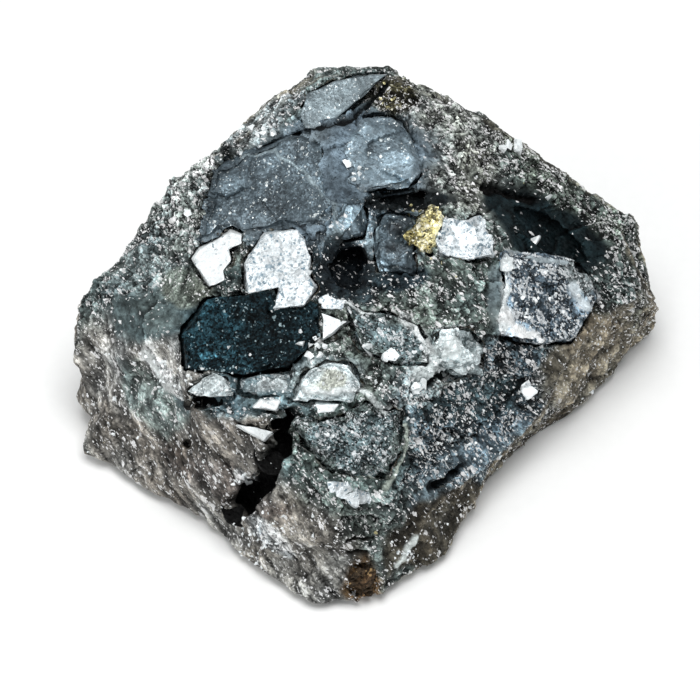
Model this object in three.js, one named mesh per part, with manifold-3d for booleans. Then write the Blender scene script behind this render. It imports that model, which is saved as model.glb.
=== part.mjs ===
// Skutterudite specimen: a block of cobalt arsenide ore broken from a vein, with a cluster of tin-white
// crystals grown over its upper side, rough broken flanks and a flat broken base that it rests on.
// Sizes are in millimetres and angles in degrees. Z is up, and the base lies on Z = 0.
import * as THREE from "three";
import { mergeVertices } from "three/addons/utils/BufferGeometryUtils.js";
import Module from "manifold-3d";

// The crystal-bearing side is laid out on a plane that leans back over the base.
// On that plane "across" runs to the right, "up" runs up the slope and "out" is square to it.
const FACE_TILT = 35;
const LAYOUT_HEIGHT = 14.7;
// Gap that parts a crystal from its neighbours and from the ore round it.
const SEAM = 0.3;
// How far above a crystal's face the ore is cleared, so that nothing hangs over it.
const CLEARANCE = 14;
// An opening's bottom is this much smaller than its mouth.
const OPENING_TAPER = 0.7;
// A corner that is sharper than this share allows is blunted when an outline is moved outwards.
const SHARPEST_CORNER = 0.5;
// The base is this much smaller than the widest outline over it.
const BASE_INSET = 0.95;
// The upper side bulges: its highest point and how fast it falls away across and up the slope.
const CREST = { across: -2, up: -3.5, out: 8.2 };
const FALL = { across: 7.7, up: 8.4 };
// Broken faces step in and out by about this much where they are at least this tall.
const FLANK_STEP = 0.9;
const TALL_FACE = 12;
// Where the broken faces have rings of corners: from the base up to the outline, and on up to the edge.
const UNDERSIDE_RINGS = [0.35, 0.7];
const FLANK_RINGS = [0.35, 0.7];
// Where the rings of the upper side lie between its middle (0) and its edge (1).
const RELIEF_RINGS = [0.9, 0.74, 0.56, 0.38, 0.2];
const MIDDLE = { across: -0.5, up: 2 };
// How late the upper side leaves its relief for the height of its edge: a higher power turns over later.
const EDGE_BLEND = 4;

const SIN = Math.sin(THREE.MathUtils.degToRad(FACE_TILT));
const COS = Math.cos(THREE.MathUtils.degToRad(FACE_TILT));

// The widest outline of the block, clockwise from its back corner: across, up, height over the base.
const OUTLINE = [
  [1.8, 25.5, 24.0],
  [6.3, 23.0, 24.0],
  [10.9, 20.7, 23.0],
  [14.6, 17.9, 21.0],
  [20.1, 14.3, 17.0],
  [25.5, 10.9, 13.0],
  [26.6, 6.0, 9.0],
  [27.9, 2.3, 4.5],
  [25.6, -0.6, 2.0],
  [23.8, -3.4, 1.6],
  [19.7, -7.4, 1.4],
  [16.8, -9.0, 1.4],
  [11.9, -13.2, 1.4],
  [10.1, -16.3, 1.2],
  [7.3, -20.9, 1.2],
  [2.2, -24.0, 1.2],
  [-0.4, -25.3, 1.2],
  [-5.1, -25.6, 1.2],
  [-10.0, -22.8, 1.2],
  [-15.4, -17.6, 1.2],
  [-21.2, -14.9, 1.2],
  [-24.6, -12.4, 1.2],
  [-27.4, -11.2, 1.8],
  [-26.4, -7.8, 4.0],
  [-27.8, -2.5, 9.0],
  [-27.4, 3.5, 14.0],
  [-23.8, 6.8, 15.5],
  [-20.9, 10.7, 17.5],
  [-18.3, 14.5, 19.0],
  [-13.5, 18.2, 21.0],
  [-9.4, 22.0, 23.0],
  [-4.7, 25.1, 24.5],
];

// The edge where the upper side turns over into the flanks, one point for each point of the outline.
const EDGE = [
  [1.0, 24.2, 25.6],
  [5.0, 21.9, 25.4],
  [9.6, 19.6, 24.6],
  [13.3, 16.9, 22.8],
  [18.6, 13.1, 18.8],
  [23.6, 9.7, 15.2],
  [24.9, 5.7, 13.0],
  [25.2, 3.2, 12.2],
  [23.3, 2.3, 12.2],
  [21.2, 0.2, 12.0],
  [18.4, -4.0, 10.2],
  [16.1, -8.2, 6.0],
  [11.3, -12.4, 5.8],
  [7.2, -15.8, 7.0],
  [3.2, -16.9, 8.8],
  [1.8, -18.9, 7.4],
  [0.0, -20.7, 6.2],
  [-3.3, -15.6, 12.0],
  [-7.6, -10.4, 15.6],
  [-16.5, -6.2, 16.6],
  [-17.6, -1.4, 18.2],
  [-19.2, -0.1, 17.9],
  [-20.9, 1.4, 17.5],
  [-22.8, 3.2, 17.0],
  [-24.9, 4.4, 16.2],
  [-24.4, 5.2, 16.2],
  [-21.6, 7.8, 17.4],
  [-19.2, 10.8, 19.2],
  [-17.1, 14.0, 21.0],
  [-13.0, 17.5, 23.0],
  [-8.6, 20.6, 24.6],
  [-4.3, 23.7, 26.0],
];

// Rises and hollows of the upper side: middle across and up, radius, and how far it stands out.
const LUMPS = [
  { name: "back ridge", across: 7.5, up: 18.5, radius: 6.5, out: 1.6 },
  { name: "shoulder under the slab", across: -9.5, up: 13.5, radius: 7.5, out: 1.2 },
  { name: "step under the dome", across: 3.0, up: 11.0, radius: 4.0, out: -1.8 },
  { name: "valley behind the block", across: 17.5, up: 9.2, radius: 5.5, out: -2.6 },
  { name: "rise under the block", across: 17.0, up: 2.0, radius: 6.0, out: 1.4 },
  { name: "hollow at the heart", across: -1.0, up: 6.5, radius: 4.5, out: -2.4 },
  { name: "ridge in front", across: 2.5, up: -7.5, radius: 6.0, out: 0.9 },
  { name: "slope at the front right", across: 14.0, up: -8.5, radius: 11.0, out: -4.6 },
  { name: "shelf in front", across: -4.0, up: -8.5, radius: 5.0, out: -1.0 },
  { name: "rim at the left", across: -20.0, up: 8.0, radius: 4.5, out: 0.8 },
];

// Openings in the ore, each with its outline on the layout plane and its depth.
const OPENINGS = [
  {
    name: "cavity at the heart",
    outline: [[-4.2, 5.6], [-3.6, 9.0], [-0.6, 9.4], [0.9, 6.0], [-0.6, 3.2], [-3.4, 3.4]],
    depth: 4.5,
  },
  {
    name: "crack, upper reach",
    outline: [
      [-8.9, -8.2], [-8.0, -6.8], [-6.9, -7.2], [-6.9, -10.0],
      [-8.2, -12.4], [-9.6, -12.6], [-9.2, -10.4],
    ],
    depth: 4.2,
  },
  {
    name: "crack, lower reach",
    outline: [
      [-9.9, -12.0], [-8.1, -12.0], [-10.4, -15.6],
      [-12.2, -18.2], [-13.4, -17.4], [-12.0, -14.8],
    ],
    depth: 3.2,
  },
  {
    name: "slot under the shelf crystal",
    outline: [[-17.2, -6.6], [-16.6, -5.9], [-13.8, -6.2], [-13.9, -6.9], [-16.4, -7.5]],
    depth: 2.2,
  },
  {
    name: "gap under the crown crystal",
    outline: [
      [-6.0, 18.3], [-3.0, 18.7], [-1.2, 20.7], [1.4, 23.0],
      [2.3, 23.9], [0.6, 23.9], [-2.5, 21.5], [-6.0, 19.6],
    ],
    depth: 1.8,
  },
  {
    name: "undercut below the dome",
    outline: [[-0.6, 13.2], [4.2, 13.9], [6.6, 13.6], [6.0, 11.6], [2.0, 11.6], [-0.4, 12.2]],
    depth: 2.4,
  },
  {
    name: "valley behind the block",
    outline: [[12.4, 13.2], [16.4, 12.2], [21.2, 8.4], [22.4, 5.6], [18.0, 6.4], [12.8, 9.2]],
    depth: 1.8,
  },
  {
    name: "hole beside the patch",
    outline: [[5.7, -3.6], [6.5, -3.4], [6.8, -4.6], [6.2, -5.4], [5.7, -4.8]],
    depth: 2.0,
  },
  {
    name: "pit in the flank",
    outline: [[-17.8, -10.4], [-17.2, -9.6], [-16.4, -10.2], [-16.6, -11.4], [-17.4, -11.4]],
    depth: 2.0,
  },
  {
    name: "hole in the left rim",
    outline: [[-13.8, 17.0], [-13.2, 18.0], [-12.5, 17.6], [-12.8, 16.6]],
    depth: 2.0,
  },
  {
    name: "groove at the front right",
    outline: [[5.6, -14.8], [6.4, -13.8], [9.2, -12.8], [9.0, -13.7], [7.2, -14.9]],
    depth: 1.6,
  },
];

// The crystals and grains, in the order they were made room for: each is cut by the ones before it.
// outline: its face on the layout plane. proud: how far the face stands over the ore.
// turn: how far the face turns to the right and up the slope from the ore's own surface there.
// depth, flare: the thickness of the body under the face, and its width at the foot.
const CRYSTALS = [
  {
    name: "bright_hex_crystal",
    outline: [
      [-11.5, 6.5], [-9.8, 9.2], [-6.6, 9.7], [-5.4, 7.1], [-5.6, 5.2],
      [-4.9, 4.3], [-6.1, 2.6], [-9.0, 2.2], [-8.4, 4.2], [-11.3, 3.8],
    ],
    proud: 1.3,
    turn: [4, 4],
    depth: 4.0,
    flare: 1.08,
    finish: "fresh_arsenide",
  },
  {
    name: "bright_left_crystal",
    outline: [
      [-16.6, 6.9], [-16.1, 7.9], [-14.6, 8.7], [-12.9, 9.6], [-11.9, 9.2],
      [-11.9, 8.4], [-13.1, 7.8], [-13.0, 6.8], [-13.8, 5.8], [-13.6, 5.0], [-15.0, 4.4], [-15.5, 5.2],
    ],
    proud: 1.3,
    turn: [6, 4],
    depth: 3.5,
    flare: 1.08,
    finish: "fresh_arsenide",
  },
  {
    name: "dark_hex_crystal",
    outline: [
      [-17.6, -0.3], [-15.2, 3.0], [-13.1, 3.4], [-11.2, 3.5], [-8.6, 4.3],
      [-4.7, 2.6], [-4.5, -0.3], [-7.7, -3.3], [-11.9, -3.9], [-17.1, -3.4],
    ],
    proud: 0.9,
    turn: [4, -8],
    depth: 5.0,
    flare: 1.06,
    finish: "dark_arsenide",
  },
  {
    name: "crown_crystal",
    outline: [
      [-6.3, 20.6], [-5.7, 22.7], [-3.0, 23.9], [0.4, 24.6], [1.8, 24.6],
      [-1.9, 21.2], [-3.5, 19.7], [-4.6, 19.2], [-6.0, 19.4],
    ],
    proud: 1.2,
    turn: [0, -6],
    depth: 3.0,
    flare: 0.96,
    finish: "tarnished_arsenide",
  },
  {
    name: "dome_crystal",
    outline: [
      [-2.6, 18.6], [-0.4, 20.2], [2.3, 20.6], [3.5, 20.0], [4.6, 16.8],
      [5.0, 14.9], [4.2, 13.9], [-0.4, 13.2], [-2.1, 14.2],
    ],
    proud: 1.5,
    turn: [0, -8],
    depth: 4.5,
    flare: 0.94,
    finish: "tarnished_arsenide",
  },
  {
    name: "slab_crystal",
    outline: [
      [-14.6, 15.6], [-10.5, 17.4], [-6.2, 18.9], [-3.1, 18.3], [-2.4, 14.6],
      [-3.2, 9.4], [-6.2, 10.3], [-9.8, 9.8], [-12.2, 9.9], [-15.9, 8.4],
    ],
    proud: 0.6,
    turn: [2, -5],
    depth: 4.0,
    flare: 1.02,
    finish: "tarnished_arsenide",
  },
  {
    name: "column_crystal_left",
    outline: [[-4.9, 9.6], [-3.6, 12.3], [-0.6, 12.6], [0.1, 9.2], [-3.4, 8.6], [-4.7, 5.6]],
    proud: 0.8,
    turn: [6, -16],
    depth: 3.5,
    flare: 1.0,
    finish: "tarnished_arsenide",
  },
  {
    name: "gold_grain",
    outline: [
      [3.4, 9.1], [4.9, 10.6], [6.0, 11.7], [6.9, 11.5],
      [6.7, 9.9], [6.1, 8.6], [6.0, 7.4], [4.2, 8.3],
    ],
    proud: 1.0,
    turn: [-4, -4],
    depth: 2.6,
    flare: 1.0,
    finish: "chalcopyrite",
  },
  {
    name: "bright_right_crystal",
    outline: [
      [6.4, 9.0], [7.1, 10.9], [8.4, 10.3], [10.6, 10.9],
      [11.2, 9.2], [11.6, 7.3], [9.4, 6.9], [6.8, 7.4],
    ],
    proud: 1.0,
    turn: [-8, -2],
    depth: 3.0,
    flare: 1.05,
    finish: "fresh_arsenide",
  },
  {
    name: "column_crystal_right",
    outline: [[0.9, 5.6], [0.7, 10.4], [2.0, 11.3], [4.6, 10.5], [3.2, 9.0], [4.3, 7.6], [4.4, 5.4]],
    proud: 0.8,
    turn: [-10, -10],
    depth: 3.5,
    flare: 1.0,
    finish: "tarnished_arsenide",
  },
  {
    name: "block_crystal",
    outline: [
      [12.9, 7.4], [13.4, 6.7], [15.0, 7.1], [17.4, 6.9], [20.1, 6.2],
      [21.2, 4.5], [21.9, 3.3], [19.3, -0.8], [15.8, -0.8], [12.7, -0.1], [12.9, 4.4],
    ],
    proud: 1.5,
    turn: [-2, -9],
    depth: 5.0,
    flare: 1.05,
    finish: "granular_arsenide",
  },
  {
    name: "upper_shard",
    outline: [[-4.8, 3.2], [-4.0, 3.6], [-2.2, 2.8], [-2.4, 2.1], [-4.4, 2.4]],
    proud: 0.8,
    turn: [-2, 6],
    depth: 2.0,
    flare: 1.05,
    finish: "fresh_arsenide",
  },
  {
    name: "lower_shard",
    outline: [[-4.5, 1.8], [-2.0, 0.9], [-4.2, -0.6]],
    proud: 1.0,
    turn: [-2, 6],
    depth: 2.0,
    flare: 1.2,
    finish: "fresh_arsenide",
  },
  {
    name: "ridge_crystal",
    outline: [
      [-2.0, 2.6], [-0.6, 1.8], [2.8, 1.4], [4.6, 0.6], [5.6, -0.9],
      [5.6, -3.0], [2.6, -3.0], [-0.6, -1.4], [-1.4, 0.6],
    ],
    proud: 0.7,
    turn: [6, -9],
    depth: 3.0,
    flare: 1.05,
    finish: "dark_arsenide",
  },
  {
    name: "patch_crystal",
    outline: [[6.6, -0.4], [9.4, 0.2], [10.8, -1.2], [10.4, -3.6], [7.2, -4.4], [6.7, -2.6]],
    proud: 0.6,
    turn: [-4, 4],
    depth: 2.4,
    flare: 1.05,
    finish: "pale_arsenide",
  },
  {
    name: "shelf_crystal",
    outline: [[-17.0, -5.6], [-14.9, -3.9], [-13.0, -4.5], [-12.7, -6.1], [-16.0, -6.0]],
    proud: 0.8,
    turn: [6, -4],
    depth: 2.0,
    flare: 0.9,
    finish: "pale_arsenide",
  },
  {
    name: "plate_crystal",
    outline: [[-12.2, -4.0], [-7.3, -3.7], [-7.2, -5.9], [-9.6, -6.2], [-12.1, -5.6]],
    proud: 0.7,
    turn: [0, 0],
    depth: 2.4,
    flare: 1.0,
    finish: "pale_arsenide",
  },
  {
    name: "wedge_crystal",
    outline: [
      [-7.2, -6.3], [-6.0, -4.2], [-3.9, -2.9], [-1.6, -3.3],
      [-0.8, -5.2], [-1.6, -6.4], [-5.2, -6.3],
    ],
    proud: 1.0,
    turn: [0, 6],
    depth: 2.8,
    flare: 1.08,
    finish: "pale_arsenide",
  },
  {
    name: "left_chip",
    outline: [[-11.0, -7.1], [-9.2, -5.5], [-8.2, -6.6], [-8.6, -7.4], [-9.8, -7.2]],
    proud: 0.8,
    turn: [-2, 8],
    depth: 1.8,
    flare: 1.1,
    finish: "fresh_arsenide",
  },
  {
    name: "right_chip",
    outline: [[-5.3, -5.9], [-3.6, -6.0], [-2.7, -6.6], [-3.2, -7.4], [-4.8, -7.5]],
    proud: 0.8,
    turn: [-2, 8],
    depth: 1.8,
    flare: 1.1,
    finish: "fresh_arsenide",
  },
  {
    name: "sliver_crystal",
    outline: [[-12.4, -8.8], [-10.8, -8.9], [-8.9, -9.4], [-9.8, -10.3]],
    proud: 0.8,
    turn: [-2, 10],
    depth: 1.8,
    flare: 1.1,
    finish: "fresh_arsenide",
  },
  {
    name: "front_crystal",
    outline: [[-3.5, -14.3], [-1.8, -14.2], [0.3, -15.2], [0.1, -16.2], [-1.3, -16.3], [-2.9, -15.5]],
    proud: 0.7,
    turn: [-2, 10],
    depth: 2.0,
    flare: 1.1,
    finish: "fresh_arsenide",
  },
  {
    name: "front_facet_crystal",
    outline: [
      [-7.0, -7.8], [-4.9, -8.6], [-2.2, -8.0], [-0.4, -6.6], [3.2, -7.6],
      [2.6, -11.4], [1.6, -13.6], [-3.2, -13.2], [-6.0, -10.6],
    ],
    proud: 0.35,
    turn: [0, -4],
    depth: 2.4,
    flare: 1.05,
    finish: "dark_arsenide",
  },
  {
    name: "side_grain",
    outline: [[14.5, -5.0], [15.5, -4.6], [15.9, -5.6], [15.0, -6.3], [14.3, -5.8]],
    proud: 0.5,
    turn: [-4, 4],
    depth: 1.4,
    flare: 1.1,
    finish: "fresh_arsenide",
  },
  {
    name: "rust_nub",
    outline: [[-1.7, -22.4], [-0.2, -21.9], [0.8, -23.0], [0.5, -24.7], [-0.4, -25.1], [-1.4, -24.6]],
    proud: 0.6,
    turn: [0, 0],
    depth: 1.4,
    flare: 1.0,
    finish: "limonite",
  },
];

// Finish of each kind of material: colour, roughness and metalness.
const FINISHES = {
  ore: ["#4c4a47", 0.75, 0.2],
  fresh_arsenide: ["#e4e6e8", 0.25, 0.9],
  tarnished_arsenide: ["#5a5f64", 0.45, 0.6],
  granular_arsenide: ["#54595f", 0.6, 0.5],
  dark_arsenide: ["#20282d", 0.4, 0.6],
  pale_arsenide: ["#9fa6aa", 0.4, 0.6],
  chalcopyrite: ["#9c8340", 0.4, 0.8],
  limonite: ["#7a4f22", 0.9, 0.0],
};

// A point of the layout plane's frame from its place on the plane and its height over the base.
function overBase(across, up, height) {
  const rise = height - LAYOUT_HEIGHT;
  return new THREE.Vector3(across, up, (rise - up * SIN) / COS);
}

// How far the upper side stands out of the layout plane at a place on it.
function relief(across, up) {
  let out = CREST.out;
  out -= ((across - CREST.across) / FALL.across) ** 2;
  out -= ((up - CREST.up) / FALL.up) ** 2;
  for (const lump of LUMPS) {
    const reach = Math.hypot(across - lump.across, up - lump.up) / lump.radius;
    if (reach < 1) out += lump.out * (1 - reach * reach) ** 2;
  }
  return out;
}

// A ring of corners between two others, each stepped in or out unlike the next, as stone breaks.
function brokenRing(from, to, share) {
  return from.map((corner, index) => {
    const point = corner.clone().lerp(to[index], share);
    const tall = Math.min(1, corner.distanceTo(to[index]) / TALL_FACE);
    const step = Math.sin(2.3 * index + 9 * share) + 0.6 * Math.sin(5.1 * index + 14 * share);
    const size = 1 + (FLANK_STEP * tall * step) / Math.hypot(point.x, point.y);
    return new THREE.Vector3(point.x * size, point.y * size, point.z);
  });
}

// A closed surface from vertices and triangles, as a three.js geometry.
function surface(points, triangles) {
  const geometry = new THREE.BufferGeometry();
  const position = points.flatMap((point) => [point.x, point.y, point.z]);
  geometry.setAttribute("position", new THREE.Float32BufferAttribute(position, 3));
  geometry.setIndex(triangles.flat());
  return geometry;
}

// Joins rings of points, from the base ring up to the innermost one, and closes both ends with a fan.
function loft(rings, bottom, top) {
  const count = rings[0].length;
  const points = [...rings.flat(), bottom, top];
  const triangles = [];
  for (let level = 0; level + 1 < rings.length; level += 1) {
    for (let corner = 0; corner < count; corner += 1) {
      const a = level * count + corner;
      const b = level * count + ((corner + 1) % count);
      triangles.push([a, a + count, b]);
      triangles.push([b, a + count, b + count]);
    }
  }
  const last = (rings.length - 1) * count;
  for (let corner = 0; corner < count; corner += 1) {
    const next = (corner + 1) % count;
    triangles.push([next, points.length - 2, corner]);
    triangles.push([last + corner, points.length - 1, last + next]);
  }
  return surface(points, triangles);
}

// The block of ore without its openings: base, broken flanks and the relief of the upper side.
function blockGeometry() {
  const outline = OUTLINE.map((corner) => overBase(...corner));
  const edge = EDGE.map((corner) => overBase(...corner));
  const base = outline.map((corner) => {
    const back = corner.y * COS - corner.z * SIN;
    const foot = new THREE.Vector3(corner.x * BASE_INSET, back * BASE_INSET, -LAYOUT_HEIGHT);
    return new THREE.Vector3(foot.x, foot.y * COS + foot.z * SIN, foot.z * COS - foot.y * SIN);
  });
  const rings = [base];
  for (const share of UNDERSIDE_RINGS) rings.push(brokenRing(base, outline, share));
  rings.push(outline);
  for (const share of FLANK_RINGS) rings.push(brokenRing(outline, edge, share));
  rings.push(edge);
  for (const share of RELIEF_RINGS) {
    rings.push(
      edge.map((corner) => {
        const across = THREE.MathUtils.lerp(MIDDLE.across, corner.x, share);
        const up = THREE.MathUtils.lerp(MIDDLE.up, corner.y, share);
        const blend = share ** EDGE_BLEND;
        return new THREE.Vector3(across, up, THREE.MathUtils.lerp(relief(across, up), corner.z, blend));
      }),
    );
  }
  const bottom = base.reduce((sum, corner) => sum.add(corner), new THREE.Vector3()).divideScalar(base.length);
  const top = new THREE.Vector3(MIDDLE.across, MIDDLE.up, relief(MIDDLE.across, MIDDLE.up));
  return loft(rings, bottom, top);
}

// An outline moved outwards by a distance, each corner along the line that halves it.
function spread(outline, distance) {
  const turnSign = Math.sign(THREE.ShapeUtils.area(outline));
  return outline.map((corner, index) => {
    const before = outline[(index + outline.length - 1) % outline.length];
    const after = outline[(index + 1) % outline.length];
    const arriving = corner.clone().sub(before).normalize();
    const leaving = after.clone().sub(corner).normalize();
    const square = new THREE.Vector2(arriving.y + leaving.y, -arriving.x - leaving.x).normalize();
    const share = Math.max(SHARPEST_CORNER, square.x * arriving.y - square.y * arriving.x);
    return corner.clone().addScaledVector(square, (turnSign * distance) / share);
  });
}

// A body between two outlines with equal corners, the lower and the upper one, given with their depths.
function prism(lower, lowerOut, upper, upperOut) {
  const count = upper.length;
  const points = [
    ...lower.map((corner) => new THREE.Vector3(corner.x, corner.y, lowerOut(corner))),
    ...upper.map((corner) => new THREE.Vector3(corner.x, corner.y, upperOut(corner))),
  ];
  const triangles = [];
  for (const [a, b, c] of THREE.ShapeUtils.triangulateShape(upper, [])) {
    triangles.push([a + count, b + count, c + count]);
    triangles.push([c, b, a]);
  }
  for (let corner = 0; corner < count; corner += 1) {
    const next = (corner + 1) % count;
    triangles.push([corner, next, next + count]);
    triangles.push([corner, next + count, corner + count]);
  }
  return surface(points, triangles);
}

// The corners of an outline as vectors, anticlockwise, and their middle.
function corners(outline) {
  const points = outline.map(([across, up]) => new THREE.Vector2(across, up));
  if (THREE.ShapeUtils.area(points) < 0) points.reverse();
  const middle = points.reduce((sum, point) => sum.add(point), new THREE.Vector2());
  return { points, middle: middle.divideScalar(points.length) };
}

// The outline about its middle at another size.
function scaled(points, middle, size) {
  return points.map((point) => point.clone().sub(middle).multiplyScalar(size).add(middle));
}

// The upper side as it was lofted, to be measured from outside.
const block = blockGeometry();
const probe = new THREE.Raycaster();
const probed = new THREE.Mesh(block, new THREE.MeshBasicMaterial());

// How far out the surface of the ore lies at a place on the layout plane.
function surfaceOut(point) {
  probe.set(new THREE.Vector3(point.x, point.y, 2 * CLEARANCE), new THREE.Vector3(0, 0, -1));
  const [hit] = probe.intersectObject(probed);
  return hit ? hit.point.z : relief(point.x, point.y);
}

// How fast a height changes along each of two directions, as the plane that fits the samples best.
function slopes(points, middle, heights, mean) {
  let [xx, xy, yy, xh, yh] = [0, 0, 0, 0, 0];
  points.forEach((point, index) => {
    const [x, y, h] = [point.x - middle.x, point.y - middle.y, heights[index] - mean];
    xx += x * x;
    xy += x * y;
    yy += y * y;
    xh += x * h;
    yh += y * h;
  });
  const size = xx * yy - xy * xy;
  return new THREE.Vector2((xh * yy - yh * xy) / size, (yh * xx - xh * xy) / size);
}

// How far out the plane of a crystal's face lies at a place: the ore's own slope, turned further.
function facePlane(crystal, points, middle) {
  const heights = points.map(surfaceOut);
  const mean = heights.reduce((sum, height) => sum + height, 0) / heights.length;
  const slope = slopes(points, middle, heights, mean);
  const [right, up] = crystal.turn.map((angle) => Math.tan(THREE.MathUtils.degToRad(angle)));
  const across = slope.x - right;
  const upward = slope.y - up;
  return (point) => mean + crystal.proud + across * (point.x - middle.x) + upward * (point.y - middle.y);
}

const wasm = await Module();
wasm.setup();

// A geometry as a solid that can be joined and cut.
function solid(geometry) {
  const bare = geometry.clone();
  bare.deleteAttribute("normal");
  bare.deleteAttribute("uv");
  const merged = mergeVertices(bare, 1e-4);
  return new wasm.Manifold(
    new wasm.Mesh({
      numProp: 3,
      vertProperties: new Float32Array(merged.attributes.position.array),
      triVerts: new Uint32Array(merged.index.array),
    }),
  );
}

// The biggest body of a solid, so that crumbs left by a cut are dropped.
function biggest(shape) {
  return shape.decompose().reduce((best, body) => (body.volume() > best.volume() ? body : best));
}

// A crystal's body.
function crystalSolid(crystal) {
  const { points, middle } = corners(crystal.outline);
  const face = facePlane(crystal, points, middle);
  const foot = scaled(points, middle, crystal.flare);
  return solid(prism(foot, (point) => face(point) - crystal.depth, points, face));
}

// The room a crystal needs: its body with the seam round it, open to the outside above its face.
function crystalRoom(crystal) {
  const { points, middle } = corners(crystal.outline);
  const face = facePlane(crystal, points, middle);
  const foot = spread(scaled(points, middle, crystal.flare), SEAM);
  const rim = spread(points, SEAM);
  const body = solid(prism(foot, (point) => face(point) - crystal.depth - SEAM, rim, face));
  const above = solid(prism(rim, (point) => face(point) - SEAM, rim, (point) => face(point) + CLEARANCE));
  return body.add(above);
}

// The hollow of an opening, narrower at its bottom than at the surface.
function openingSolid(opening) {
  const { points, middle } = corners(opening.outline);
  const foot = scaled(points, middle, OPENING_TAPER);
  const floor = (point) => surfaceOut(point) - opening.depth;
  const mouth = (point) => surfaceOut(point) + CLEARANCE;
  return solid(prism(foot, floor, points, mouth));
}

// A solid as a named mesh in its finish, turned from the layout plane's frame to the resting pose.
function node(name, shape, finish) {
  const mesh = shape.getMesh();
  const geometry = new THREE.BufferGeometry();
  geometry.setAttribute("position", new THREE.Float32BufferAttribute(mesh.vertProperties, 3));
  geometry.setIndex(Array.from(mesh.triVerts));
  geometry.rotateX(THREE.MathUtils.degToRad(FACE_TILT));
  geometry.translate(0, 0, LAYOUT_HEIGHT);
  geometry.computeVertexNormals();
  const [colour, roughness, metalness] = FINISHES[finish];
  const material = new THREE.MeshStandardMaterial({ color: colour, roughness, metalness, flatShading: true });
  const part = new THREE.Mesh(geometry, material);
  part.name = name;
  return part;
}

const specimen = new THREE.Group();
specimen.name = "skutterudite_specimen";

let ore = solid(block);
for (const opening of OPENINGS) ore = ore.subtract(openingSolid(opening));

const rooms = [];
for (const crystal of CRYSTALS) {
  let body = crystalSolid(crystal);
  for (const room of rooms) body = body.subtract(room);
  rooms.push(crystalRoom(crystal));
  specimen.add(node(crystal.name, biggest(body), crystal.finish));
}
for (const room of rooms) ore = ore.subtract(room);
specimen.add(node("ore_matrix", biggest(ore), "ore"));

// The origin is under the middle of the specimen, on the plane that it rests on.
const bounds = new THREE.Box3().setFromObject(specimen);
const centre = bounds.getCenter(new THREE.Vector3());
for (const part of specimen.children) part.geometry.translate(-centre.x, -centre.y, -bounds.min.z);

export default specimen;
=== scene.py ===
"""A hand specimen of skutterudite ore: one grown mass, its crystals and bright grains, on a lit floor.

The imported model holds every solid. This script gives each one a broken or grown surface, worked out in
millimetres, and a mineral finish. Places on the specimen are given on the plane of its crystal face:
across to the right, up the face and out of it.
"""

import logging
import math
from dataclasses import dataclass
from enum import Enum
from itertools import product

import bmesh
import bpy
import numpy as np
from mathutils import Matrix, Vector
from mathutils.bvhtree import BVHTree


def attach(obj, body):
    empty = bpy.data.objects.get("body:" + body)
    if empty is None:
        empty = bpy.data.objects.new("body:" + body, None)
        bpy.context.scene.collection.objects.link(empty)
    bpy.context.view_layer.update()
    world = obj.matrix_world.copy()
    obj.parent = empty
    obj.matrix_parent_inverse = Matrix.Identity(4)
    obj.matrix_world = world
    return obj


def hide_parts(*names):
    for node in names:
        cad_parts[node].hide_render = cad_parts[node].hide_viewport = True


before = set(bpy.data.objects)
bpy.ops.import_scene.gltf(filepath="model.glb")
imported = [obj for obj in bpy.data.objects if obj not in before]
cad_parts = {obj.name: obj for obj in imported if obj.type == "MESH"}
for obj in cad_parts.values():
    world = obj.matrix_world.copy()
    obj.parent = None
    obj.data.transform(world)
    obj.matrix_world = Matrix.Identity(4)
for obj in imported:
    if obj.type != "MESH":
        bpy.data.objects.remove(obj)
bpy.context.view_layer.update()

log = logging.getLogger("specimen")
Array = np.ndarray

# Metres in a millimetre
MM = 0.001
# Further than anything on the specimen is from anything else, in millimetres
FAR = 99.0
# The plane of the crystal face: its tilt, its origin in millimetres, and its axes across, up and out
FACE_TILT = math.radians(35)
FACE_ORIGIN = np.array([0.02, -1.41, 14.7])
FACE_AXES = np.array(
    [
        [1, 0, 0],
        [0, math.cos(FACE_TILT), math.sin(FACE_TILT)],
        [0, -math.sin(FACE_TILT), math.cos(FACE_TILT)],
    ]
)
OUTWARD = FACE_AXES[2]
# Direction that the splintered layers of the ore run in
LAYERS = (0.66, -0.3, -0.69)

# An integer hash: a factor for each axis and for the seed, then the shift and the factor of each round
AXIS_FACTORS = (374761393, 668265263, 1103515245)
SEED_FACTOR = 974634777
ROUNDS = ((13, 1274126177), (15, 2246822519))
LAST_SHIFT = 16
WORD = 0xFFFFFFFF
KEPT_BITS = 0xFFFFFF


# Colour, noise and mesh arithmetic


def linear(hex_colour: str) -> tuple[float, float, float, float]:
    """Turns an sRGB hex colour to linear light.

    Args:
        hex_colour: The colour as "#rrggbb".

    Returns:
        Linear red, green, blue and an alpha of 1.
    """
    parts = [int(hex_colour[i : i + 2], 16) / 255 for i in (1, 3, 5)]
    return (*(p / 12.92 if p <= 0.04045 else ((p + 0.055) / 1.055) ** 2.4 for p in parts), 1.0)


def hashed(cells: Array, seed: int) -> Array:
    """Gives each whole-numbered cell its own even random number.

    Args:
        cells: Cell indices, one row of three for each place.
        seed: Picks one of many independent sets of numbers.

    Returns:
        One number from 0 to 1 for each row.
    """
    across, up, out = (cells[:, axis] * factor for axis, factor in enumerate(AXIS_FACTORS))
    mixed = (across + up + out + seed * SEED_FACTOR) & WORD
    for shift, factor in ROUNDS:
        mixed = ((mixed ^ (mixed >> shift)) * factor) & WORD
    return ((mixed ^ (mixed >> LAST_SHIFT)) & KEPT_BITS) / KEPT_BITS


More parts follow.
